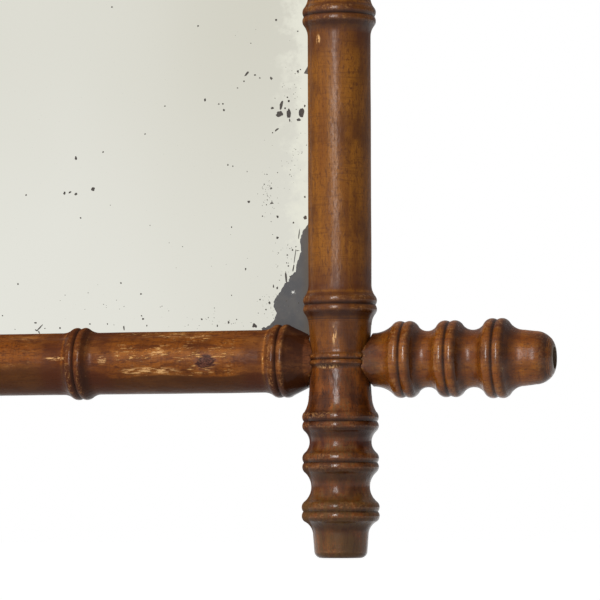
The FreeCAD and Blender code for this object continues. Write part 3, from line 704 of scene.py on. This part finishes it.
    dull = nodes.plus(nodes.times(fibres, 0.5), nodes.times(pores, 0.5))
    rough = nodes.times(
        nodes.ramp(dull, 0.4, 0.62, smooth, smooth * 1.5),
        nodes.math("SUBTRACT", 1, nodes.times(at_end, 0.45)),
        nodes.ramp(crease, -0.04, -0.30, 1, 0.6))
    if "dusty" in look:
        rough = nodes.most(rough, nodes.ramp(across, *look["dusty"], 0, 0.85))
    relief = nodes.bump(pores, 0.00014, 0.6, nodes.bump(dents, 0.0011, 0.5))
    relief = nodes.bump(bare, -0.0002, 0.6, relief)
    return nodes.set(
        Base_Color=colour, Roughness=rough, Normal=relief, Specular_IOR_Level=look["gloss"])


def dark_underside(nodes, under, across, along, patches, bare, colour):
    """Keeps the old dark stain under a rail, where hands and dusters never wore it. The stain's
    edge steps at one ring."""
    ring = RAIL_RINGS[3]
    edge = nodes.ramp(along, ring - 3, ring + 3, under["left_edge"], under["right_edge"])
    edge = nodes.plus(edge, nodes.ramp(patches, 0.3, 0.7, -0.9, 0.9))
    depth = nodes.math("SUBTRACT", edge, across)
    depth = nodes.times(depth, nodes.ramp(along, ring - 13, ring + 3, 0.18, 1))
    below = nodes.ramp(depth, -0.6, 0.8)
    bays = nodes.ramp(along, ring - 8, ring + 5, 0.3, 1)
    bare = nodes.times(nodes.math("SUBTRACT", bare, below, True), bays)
    return bare, nodes.paint(colour, (srgb(*under["stain"]), below, 0.85))


def add_mark(nodes, colour, worn, spot, size, kind):
    """A single mark at a spot of the CAD frame: a dark ringed knot or a patch of lost polish."""
    shift = [-at / half for at, half in zip(spot, size)]
    place = nodes.scaled(nodes.place(), [1 / (half * MM) for half in size], shift)
    length = nodes.add("ShaderNodeVectorMath", operation="LENGTH")
    nodes.feed(length.inputs[0], place)
    edge = nodes.plus(length.outputs["Value"], nodes.ramp(worn, 0.3, 0.7, -0.35, 0.35))
    if kind == "bare":
        return nodes.paint(colour, (LOST_POLISH, (edge, 1.1, 0.6), (worn, 0.49, 0.55)))
    ring = nodes.math("SINE", nodes.times(edge, 16))
    heart = nodes.mix(nodes.ramp(ring, -0.2, 0.8, 0, 0.8), KNOT_HEART, KNOT_RING)
    return nodes.paint(
        colour,
        (KNOT_HALO, (edge, 1.35, 0.95, 0, 0.75)),
        (KNOT_RIM, (edge, 1.04, 0.80)),
        (heart, (edge, 0.84, 0.60)))


def dress(piece, material):
    piece.data.materials.clear()
    piece.data.materials.append(material)


def dress_sticks(sticks):
    looks = {name: wood_material(name, look) for name, look in WOOD_LOOKS.items()}
    for name, stick in sticks.items():
        dress(stick, looks["polished_" + name.split("_")[0]])


def mirror_material():
    """Old silver that greys unevenly, and pales in blotches beside the stiles."""
    nodes = Nodes("old_mirror")
    place = nodes.place()
    side, _, height = nodes.parts(place)
    clouds = nodes.noise(nodes.scaled(place, (7, 7, 5), (3.1, 0.4, 1.7)), 1, 2, 0.45)
    leftward = nodes.ramp(side, 0.215, 0.09, 0, 0.42)
    downward = nodes.ramp(height, -0.37, -0.5, 0, 0.36)
    clear = nodes.plus(nodes.plus(leftward, downward), nodes.ramp(clouds, 0.3, 0.7, 0.02, 0.18))
    blotches = nodes.noise(place, 110, 4, 0.65)
    edge = nodes.plus(nodes.size(side), nodes.ramp(blotches, 0.3, 0.7, -0.007, 0.007))
    fine = nodes.noise(place, 900, 2, 0.6)
    colour = nodes.paint(
        srgb(210, 208, 195),
        (srgb(230, 230, 222), clear),
        (srgb(230, 229, 215), (edge, 0.213, 0.2305, 0, 0.9)),
        (srgb(150, 148, 138), (fine, 0.64, 0.78, 0, 0.12)))
    rough = nodes.ramp(clouds, 0.3, 0.8, 0.015, 0.04)
    return nodes.set(Base_Color=colour, Metallic=1, Roughness=rough)


def glass_spot(x, y):
    """Where the sight line through a pixel of the photograph meets the plate, in millimetres."""
    right, up = camera_axes()
    focal = CAMERA_LENS / SENSOR * PIXELS
    way = CAMERA_AIM * focal + right * (x - PIXELS / 2) - up * (y - PIXELS / 2)
    spot = CAMERA_SPOT + way * ((GLASS_FRONT * MM - CAMERA_SPOT.y) / way.y)
    return spot.x / MM, spot.z / MM


def ragged(corners, seed, rough=0.35):
    """The loop with more points, pushed about a little."""
    loop = []
    for (x, z), (next_x, next_z) in zip(corners, corners[1:] + corners[:1]):
        count = max(1, round(math.dist((x, z), (next_x, next_z)) / RAGGED_STEP))
        for index in range(count):
            part = index / count
            a, b = x + (next_x - x) * part, z + (next_z - z) * part
            a += rough * noise.noise((a * 0.9, b * 0.9, seed)) * 2
            b += rough * noise.noise((a * 0.9, b * 0.9, seed + 40)) * 2
            loop.append((a, b))
    return loop


def blob(x, z, half_wide, half_tall, turn, seed):
    """A rounded uneven patch."""
    loop = []
    across, up = math.cos(turn), math.sin(turn)
    for index in range(BLOB_POINTS):
        angle = 2 * math.pi * index / BLOB_POINTS
        wide, tall = math.cos(angle), math.sin(angle)
        size = 1 + 0.55 * noise.noise((wide * 1.3 + seed, tall * 1.3, seed * 0.7))
        a, b = half_wide * size * wide, half_tall * size * tall
        loop.append((x + a * across - b * up, z + a * up + b * across))
    return loop


# Thin patches: how far each kind stands proud of the plate, the step of ragged edges, the points of
# a spot, and millimetres to a pixel
FOXING_LIFT, FLECK_LIFT, BARE_LIFT = 0.12, 0.14, 0.08
RAGGED_STEP, BLOB_POINTS, PIXEL = 0.7, 16, 0.508
# Spots along the plate's edges: how many, where they start, how they thin out, and their size
EDGE_SPOTS, EDGE_START, EDGE_FADE, EDGE_SIZE, DUST_SIZE = 520, 9, 16, (0.10, 0.10), (0.08, 0.06)
# Clusters of spots out of the photograph's view: how many, their spread and the size of a spot
CLUSTERS, CLUSTER_SPREAD, CLUSTER_SIZE = 9, 9, (0.25, 0.45)
# How far the frame's edge lies inside the plate's, and where patches under the frame end
IN_SIGHT, HIDDEN_X, HIDDEN_Z, PATCH_STEPS = 8, 5.5, 4, 12
# Foxing in the photograph: pixel, half width and half height in pixels, and any turn in degrees
FOXING = (
    (247, 73.6, 3.4, 0.9, 47), (255, 75, 0.9, 0.8), (259.8, 78, 0.8, 0.7),
    (271.3, 78.4, 1, 1.7, 20), (243.9, 81.3, 0.9, 0.9), (204.9, 100, 1, 1.5),
    (218.7, 104, 0.9, 0.8), (223, 103.8, 0.9, 0.8), (224, 110, 1, 1.2, 30),
    (272.3, 108, 1.7, 1.2), (281.4, 105.1, 1.5, 4.1, -14), (285, 108.4, 0.9, 0.9),
    (279.1, 114.3, 3.8, 2.9, 25), (288.7, 113.6, 1.9, 4.8, 8), (289.6, 120.2, 0.6, 1.6, 10),
    (301.7, 112.4, 2.7, 4.3), (298.5, 119.9, 2.2, 1.4, 10), (287.4, 97.3, 0.8, 0.8),
    (288.9, 101, 1.2, 1.2), (276.7, 129.8, 2.3, 0.9, 38), (272.6, 132.7, 0.7, 0.7),
    (297.9, 71.5, 1.2, 1.2), (76, 158, 1.2, 2, 10), (103, 152, 0.9, 0.9),
    (64.5, 193, 1.2, 1.6), (70, 192.4, 1.5, 0.9, 20), (76, 194, 1.8, 1.4, 40),
    (93, 189.2, 1.9, 2.1), (26, 195, 0.8, 0.8), (112, 7, 0.8, 0.8),
    (198, 26, 0.9, 0.9), (276, 20, 1.1, 1.1), (145, 134, 0.7, 0.7),
    (165, 106, 0.7, 0.7), (248.8, 201.7, 1.2, 1.3), (271.6, 203, 1.3, 1, 30),
    (277.5, 216.8, 1.2, 1.2), (293.5, 222.7, 0.9, 0.9), (305.3, 217.7, 1.6, 1.8),
    (277.5, 237.7, 1.2, 1.2), (292.6, 250, 0.8, 0.9), (287.4, 255, 0.8, 0.8),
    (288.4, 266, 0.7, 0.8), (245.5, 269, 0.7, 1.4), (273.4, 286.3, 0.7, 1.5),
    (277.3, 288, 1.1, 1.1), (269.5, 302.7, 1, 1.4), (266, 309.5, 0.8, 0.8),
    (201.7, 319.4, 1, 1), (228.6, 322.5, 0.8, 1.5), (217.4, 325.9, 0.8, 1.1),
    (254.6, 325.6, 2.4, 2.3), (228, 165, 0.8, 0.8), (143, 319, 1.2, 0.8),
    (121, 283, 0.8, 0.8), (141, 294, 0.8, 0.8), (18, 284, 0.9, 0.9),
    (40.5, 327, 5.6, 0.7, 48), (36.5, 330.5, 1.6, 0.7, 150), (39, 332, 0.7, 1.6, 20),
    (35.5, 322.8, 1.3, 0.8), (45, 328.4, 0.6, 0.5), (60, 328, 0.9, 0.9),
    (90, 324, 1.2, 0.6), (107.5, 324, 0.6, 0.8), (124, 328, 0.8, 2.2, 10),
    (299, 234.6, 0.5, 5, -7), (294.9, 257, 0.4, 7.5, -8), (293.4, 268, 0.6, 4, -10),
    (297.6, 250.6, 1.6, 0.4, 5), (286, 277, 0.8, 6.2, 4),
)
# Fine dust of spots: centre and spread in pixels, and how many
FOX_DUST = (
    (268, 192, 4, 15, 60), (295, 160, 6, 14, 34), (293, 84, 7, 12, 22),
    (284, 262, 6, 14, 26), (268, 306, 5, 9, 26), (214, 322, 20, 4, 20),
)
# A fleck of silver left in the bare patch: its centre and the reach of its rays, in pixels
FLECK_SPOT = 293, 292.2
FLECK_RAYS = 3, 0.6, 1.7, 0.5, 2.6, 0.6, 2, 0.6, 3, 0.5, 1.5, 0.6, 2.4, 0.6
# Left edge of the patch beside the stile where the silver is gone, in pixels from top to bottom
BARE_EDGE = (
    (309.5, 222), (304.4, 229), (301.5, 235.4), (300, 240.4), (301, 250.5), (299, 257.3),
    (296.8, 264.8), (295.2, 271.6), (291, 275), (288.4, 281), (285, 283.4), (281.7, 289.3),
    (275.8, 297.7), (274, 301), (274.1, 307), (276.2, 313.3), (274.5, 319.6), (270, 325),
    (262, 328.5), (262, 338),
)
# A bare nick further up beside the stile, in pixels
BARE_NOTCH = (309, 64), (306.2, 69), (303.8, 73.4), (309, 74.4)


def flat_patches(name, loops, lift, material):
    """Thin closed patches that lie on the plate's face."""
    vertices, faces = [], []
    for loop in loops:
        start = len(vertices)
        for level in (GLASS_FRONT - lift, GLASS_FRONT - PATCH_BACK):
            vertices += [(x * MM, level * MM, z * MM) for x, z in loop]
        for face in tube_faces(2, len(loop)):
            faces.append(tuple(start + corner for corner in face))
    piece = finish_mesh(name, vertices, faces)
    dress(piece, material)
    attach(piece, "frame")
    return piece


def lost_silver_material(name, one, two):
    """Glass where the silver has gone, its dark tones painted shade: the back as it lies in shadow
    behind the glass.
    """
    nodes = Nodes(name)
    place = nodes.place()
    clouds = nodes.noise(place, 90, 4, 0.6)
    specks = nodes.noise(place, 1400, 2, 0.5)
    beside = nodes.size(nodes.parts(place)[0])
    # Painted shade: the dark tones stand for the back in shadow behind bare glass
    colour = nodes.paint(
        one,
        (two, (clouds, 0.36, 0.66)),
        (srgb(150, 150, 146), (specks, 0.7, 0.76, 0, 0.6)),
        (srgb(122, 108, 91), (beside, 0.224, 0.2295, 0, 0.7)))
    return nodes.set(Base_Color=colour, Roughness=0.08, Specular_IOR_Level=0.4)


def photo_foxing():
    return [
        blob(*glass_spot(x, y), wide * PIXEL, tall * PIXEL, math.radians(sum(turn)), number * 3.7)
        for number, (x, y, wide, tall, *turn) in enumerate(FOXING)]


def edge_foxing(chance, left, right, bottom, top):
    """Small spots that thin out from the plate's edges."""
    spots = []
    least, more = EDGE_SIZE
    for number in range(EDGE_SPOTS):
        from_edge = EDGE_START + chance.exponential(EDGE_FADE)
        side = chance.integers(4)
        run = chance.random()
        if side < 2:
            x, z = (left + from_edge, right - from_edge)[side], bottom + run * (top - bottom)
        else:
            x, z = left + run * (right - left), (bottom + from_edge, top - from_edge)[side - 2]
        size = least + chance.exponential(more)
        spots.append(blob(x, z, size, size * (0.7 + chance.random()), 0, number * 1.9))
    return spots


def dust_foxing(chance):
    spots = []
    least, more = DUST_SIZE
    for x, y, wide, tall, count in FOX_DUST:
        for a, b in chance.normal((x, y), (wide, tall), (count, 2)):
            size = least + chance.exponential(more)
            spots.append(blob(*glass_spot(a, b), size, size * 1.2, 0, a))
    return spots


def far_foxing(chance, left, right, bottom, top):
    """Clusters on the part of the plate that the photograph doesn't show."""
    spots = []
    least, more = CLUSTER_SIZE
    for cluster in range(CLUSTERS):
        x = left + 20 + chance.random() * (right - left - 190)
        z = top - 30 - chance.random() * (top - bottom - 280)
        for number in range(chance.integers(3, 9)):
            a, b = chance.normal(0, CLUSTER_SPREAD, 2)
            size = least + chance.exponential(more)
            tall = size * (0.6 + chance.random())
            spots.append(blob(x + a, z + b, size, tall, 0, cluster * 9.1 + number))
    return spots


def bare_patches():
    """The patch of lost silver and the nick above it, as the photograph shows them."""
    beside = STILE_X - SHAFT + TUCKED
    edge, notch = (
        [(min(x, beside), z) for x, z in (glass_spot(*pixel) for pixel in pixels)]
        for pixels in (BARE_EDGE, BARE_NOTCH))
    closing = round(math.dist(edge[0], edge[-1]) / RAGGED_STEP)
    corner = [(beside, edge[-1][1]), (beside, edge[0][1])]
    return [ragged(edge, 3)[:-closing] + corner, notch]


def far_patches(left, right, bottom, top):
    """Lost silver along the edges that the photograph doesn't show."""
    patches = []
    for corner_x, corner_z, wide, tall, seed in (
            (left, bottom, 13, 30, 11), (left, top, 21, 14, 23), (right, top, 14, 24, 31)):
        inward = 1 if corner_x == left else -1
        upward = 1 if corner_z == bottom else -1
        edge = []
        for step in range(PATCH_STEPS + 1):
            angle = math.pi / 2 * step / PATCH_STEPS
            reach = 1 + 0.35 * noise.noise((step * 0.45, seed, 0.3))
            edge.append((
                corner_x + inward * (IN_SIGHT + wide * reach * math.cos(angle)),
                corner_z + upward * (IN_SIGHT + tall * reach * math.sin(angle))))
        hidden_x, hidden_z = corner_x + inward * HIDDEN_X, corner_z + upward * HIDDEN_Z
        edge += [(hidden_x, edge[-1][1]), (hidden_x, hidden_z), (edge[0][0], hidden_z)]
        patches.append(ragged(edge, seed))
    return patches


def silver_fleck():
    star = []
    for number, reach in enumerate(FLECK_RAYS):
        angle = 2 * math.pi * number / len(FLECK_RAYS) + 0.3
        x, y = FLECK_SPOT
        star.append(glass_spot(x + reach * math.cos(angle), y + reach * math.sin(angle)))
    return star


def make_foxing():
    """The aged silver, as thin pieces on the plate. Returns the two that the key lamp skips."""
    low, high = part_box("mirror_glass")
    plate = low.x / MM, high.x / MM, low.z / MM, high.z / MM
    chance = np.random.default_rng(7)
    spots = photo_foxing() + edge_foxing(chance, *plate) + dust_foxing(chance)
    spots += far_foxing(chance, *plate)
    look = lost_silver_material("foxed_silver", srgb(84, 76, 72), srgb(98, 92, 84))
    foxing = flat_patches("glass_foxing", spots, FOXING_LIFT, look)
    look = plain_material("silver_fleck")
    flat_patches("glass_silver_fleck", [silver_fleck()], FLECK_LIFT, look)
    look = lost_silver_material("lost_silver", srgb(103, 103, 105), srgb(116, 113, 110))
    patches = bare_patches() + far_patches(*plate)
    return foxing, flat_patches("glass_lost_silver", patches, BARE_LIFT, look)


# Plain looks: two tones, the scale of their mottle, metal, and the least and most roughness
PLAIN_LOOKS = {
    "tarnished_brass": ((150, 118, 62), (96, 72, 38), 400, 1, 0.3, 0.5),
    "rusty_iron": ((70, 60, 54), (84, 52, 36), 600, 0.6, 0.5, 0.75),
    "sawn_block": ((168, 132, 90), (130, 94, 58), 90, 0, 0.7, 0.85),
    "peg_wood": ((150, 108, 66), (104, 68, 38), 300, 0, 0.5, 0.7),
    "silver_fleck": ((236, 236, 230), (214, 214, 206), 900, 0, 0.2, 0.4),
}


def plain_material(name):
    one, two, scale, metal, *rough = PLAIN_LOOKS[name]
    nodes = Nodes(name)
    place = nodes.place()
    mottle = nodes.noise(place, scale, 4, 0.6)
    return nodes.set(
        Base_Color=nodes.mix(nodes.ramp(mottle, 0.3, 0.7), srgb(*one), srgb(*two)),
        Roughness=nodes.ramp(mottle, 0.3, 0.7, *rough),
        Metallic=metal,
        Normal=nodes.bump(nodes.noise(place, scale * 4, 3), 0.0002, 0.4))


def pine_material():
    """Planed boards with the grain across the mirror, each cut from another place in the log."""
    nodes = Nodes("old_pine")
    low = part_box("backboard_1")[0].z
    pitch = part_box("backboard_2")[0].z - low
    side, depth, height = nodes.parts(nodes.place())
    above = nodes.math("SUBTRACT", height, low)
    board = nodes.math("FLOOR", nodes.math("DIVIDE", above, pitch))
    level = nodes.plus(nodes.times(board, 1.7), height)
    joined = nodes.add("ShaderNodeCombineXYZ")
    for socket, source in zip(joined.inputs, (side, depth, level)):
        nodes.feed(socket, source)
    log = joined.outputs[0]
    bend = nodes.noise(nodes.scaled(log, (1.6, 9, 7)), 1, 3, 0.5)
    years = nodes.plus(nodes.times(nodes.parts(log)[2], 420), nodes.times(bend, 52))
    finer = nodes.math("SINE", nodes.times(years, 2.7))
    rings = nodes.plus(nodes.math("SINE", years), nodes.times(finer, 0.7))
    fibres = nodes.noise(nodes.scaled(log, (12, 300, 900)), 1, 4, 0.65)
    clouds = nodes.noise(nodes.scaled(log, (5, 9, 9)), 1, 4, 0.6)
    tone = nodes.noise(nodes.scaled(log, (0.1, 0.1, 0.9)), 1, 1)
    colour = nodes.paint(
        srgb(168, 130, 88),
        (srgb(122, 82, 48), (rings, -0.3, 1.6, 0, 0.75)),
        (srgb(128, 94, 62), (tone, 0.35, 0.65, 0, 0.4)),
        (srgb(104, 72, 44), (fibres, 0.48, 0.72, 0, 0.5)),
        (srgb(96, 70, 46), (clouds, 0.5, 0.75, 0, 0.5)))
    for x, z, wide, tall in PINE_KNOTS:
        colour = add_mark(nodes, colour, fibres, (x, PINE_BACK, z), (wide, 20, tall), "knot")
    return nodes.set(
        Base_Color=colour,
        Roughness=nodes.ramp(fibres, 0.3, 0.7, 0.62, 0.85),
        Specular_IOR_Level=0.25,
        Normal=nodes.bump(fibres, 0.0003, 0.5))


# Knots in the backboards: x, z, half width and half height, in millimetres of the CAD frame
PINE_BACK = -11.3
PINE_KNOTS = (
    (-130, 40, 9, 6.5), (96, -34, 6, 4.5), (168, -178, 10, 7),
    (-62, -262, 7, 5.5), (-176, -452, 8, 6), (48, -488, 5, 4),
)


def dress_nodes():
    brass, pine = plain_material("tarnished_brass"), pine_material()
    looks = {
        "mirror_glass": mirror_material(),
        "glass_wedges": plain_material("sawn_block"),
        "backboard_brads": plain_material("rusty_iron"),
        "tenon_pegs": plain_material("peg_wood"),
    }
    looks.update((name, brass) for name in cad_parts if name.startswith("hanger_"))
    looks.update((f"backboard_{number}", pine) for number in range(1, 5))
    for node, material in looks.items():
        dress(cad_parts[node], material)


def camera_axes():
    right = CAMERA_AIM.cross(Vector((0, 0, 1))).normalized()
    up = right.cross(CAMERA_AIM)
    cos, sin = math.cos(CAMERA_ROLL), math.sin(CAMERA_ROLL)
    return right * cos + up * sin, up * cos - right * sin


def make_camera():
    right, up = camera_axes()
    lens = bpy.data.cameras.new("photo_camera")
    lens.lens = CAMERA_LENS
    lens.sensor_width = SENSOR
    lens.sensor_fit = "HORIZONTAL"
    lens.clip_start, lens.clip_end = 0.05, 100
    camera = bpy.data.objects.new("photo_camera", lens)
    turn = Matrix((right, up, -CAMERA_AIM)).transposed().to_4x4()
    camera.matrix_world = Matrix.Translation(CAMERA_SPOT) @ turn
    bpy.context.scene.collection.objects.link(camera)
    bpy.context.scene.camera = camera


def add_lamp(name, target, azimuth, elevation, distance, size, watts, gleams=False):
    """A soft lamp that aims at a target, placed by angles from the front. Only a lamp that gleams
    shows in the polish."""
    azimuth, elevation = math.radians(azimuth), math.radians(elevation)
    level = math.cos(elevation)
    way = Vector((math.sin(azimuth) * level, -math.cos(azimuth) * level, math.sin(elevation)))
    lamp = bpy.data.lights.new(name, "AREA")
    lamp.shape = "RECTANGLE"
    lamp.size, lamp.size_y = size
    lamp.energy = watts
    holder = bpy.data.objects.new(name, lamp)
    holder.location = target + way * distance
    holder.visible_camera = False
    holder.visible_glossy = gleams
    holder.rotation_euler = (-way).to_track_quat("-Z", "Y").to_euler()
    bpy.context.scene.collection.objects.link(holder)
    return holder


def keep_from_mirror(lamp, patches):
    """Lights all but the mirror plate, which would show the lamp itself."""
    skipped = bpy.data.collections.new("not_lit_by_" + lamp.name)
    lamp.light_linking.receiver_collection = skipped
    for piece in (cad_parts["mirror_glass"], *patches):
        skipped.objects.link(piece)
    for member in skipped.collection_objects:
        member.light_linking.link_state = "EXCLUDE"


def make_studio(patches):
    corner = Vector((STILE_X, STILE_Y, LOW_Z)) * MM
    middle = (CAD_BOX[0] + CAD_BOX[1]) / 2
    key = add_lamp("key", corner, -5, 17, distance=2.2, size=(0.32, 1.3), watts=28, gleams=True)
    keep_from_mirror(key, patches)
    add_lamp("soft", corner, -54, 32, distance=2.4, size=(1.5, 1.5), watts=32)
    add_lamp("back_key", middle, 145, 25, distance=2.4, size=(1, 1), watts=24)
    add_lamp("back_soft", middle, 205, 35, distance=2.4, size=(1.6, 1.6), watts=32)
    world = bpy.data.worlds.new("studio")
    bpy.context.scene.world = world
    world.use_nodes = True
    background = world.node_tree.nodes["Background"]
    background.inputs["Color"].default_value = (1, 1, 1, 1)
    graph = Graph(world.node_tree)
    graph.feed(background.inputs["Strength"], world_level(graph))
    make_floor()


# The white in front that reflections meet: the way to its middle, its inner and outer angle, the
# level of the room elsewhere, and the level that lights dull surfaces
FRONT_AZIMUTH, FRONT_RISE = math.radians(-15), 0.05
FRONT_INNER, FRONT_OUTER = 0.36, 1.3
ROOM_LEVEL, FILL_LEVEL = 0.3, 0.22


def world_level(graph):
    """White for the rays that should meet a white background. Reflections meet it in front, where
    the mirror looks, and a dimmer room elsewhere."""
    path = graph.add("ShaderNodeLightPath").outputs
    toward = graph.add("ShaderNodeVectorMath", operation="DOT_PRODUCT")
    graph.feed(toward.inputs[0], graph.add("ShaderNodeTexCoord").outputs["Generated"])
    front = math.sin(FRONT_AZIMUTH), -math.cos(FRONT_AZIMUTH), FRONT_RISE
    toward.inputs[1].default_value = front
    outer, inner = math.cos(FRONT_OUTER), math.cos(FRONT_INNER)
    reflected = graph.ramp(toward.outputs["Value"], outer, inner, ROOM_LEVEL, 1, "LINEAR")
    reflected = graph.times(reflected, path["Is Glossy Ray"])
    seen = graph.most(path["Is Camera Ray"], path["Is Transmission Ray"])
    lit = graph.times(path["Is Diffuse Ray"], FILL_LEVEL)
    return graph.most(graph.most(seen, reflected), lit)


def make_floor():
    """A plain pale floor under the hanging mirror, white where it is far away, and dim nearby in
    reflections."""
    half, level = 40, -1
    corners = [(x * half, y * half, level) for x, y in ((-1, -1), (1, -1), (1, 1), (-1, 1))]
    floor = finish_mesh("studio_floor", corners, [(0, 1, 2, 3)])
    nodes = Nodes("pale_floor")
    path = nodes.add("ShaderNodeLightPath").outputs
    side, depth, _ = nodes.parts(nodes.place())
    far = nodes.squares(side, depth)
    mirrored = nodes.times(path["Is Glossy Ray"], nodes.ramp(far, 0.2, 3, 0.1, 1))
    seen = nodes.most(path["Is Camera Ray"], mirrored)
    glow = nodes.times(seen, nodes.ramp(far, 4, 30, 0.62, 0.88))
    dress(floor, nodes.set(
        Base_Color=(0.55, 0.55, 0.55, 1), Roughness=0.9, Specular_IOR_Level=0.1,
        Emission_Color=(1, 1, 1, 1), Emission_Strength=glow))


def main():
    bpy.context.scene.view_settings.view_transform = "Standard"
    make_camera()
    dress_sticks(make_sticks())
    dress_nodes()
    make_studio(make_foxing())


main()
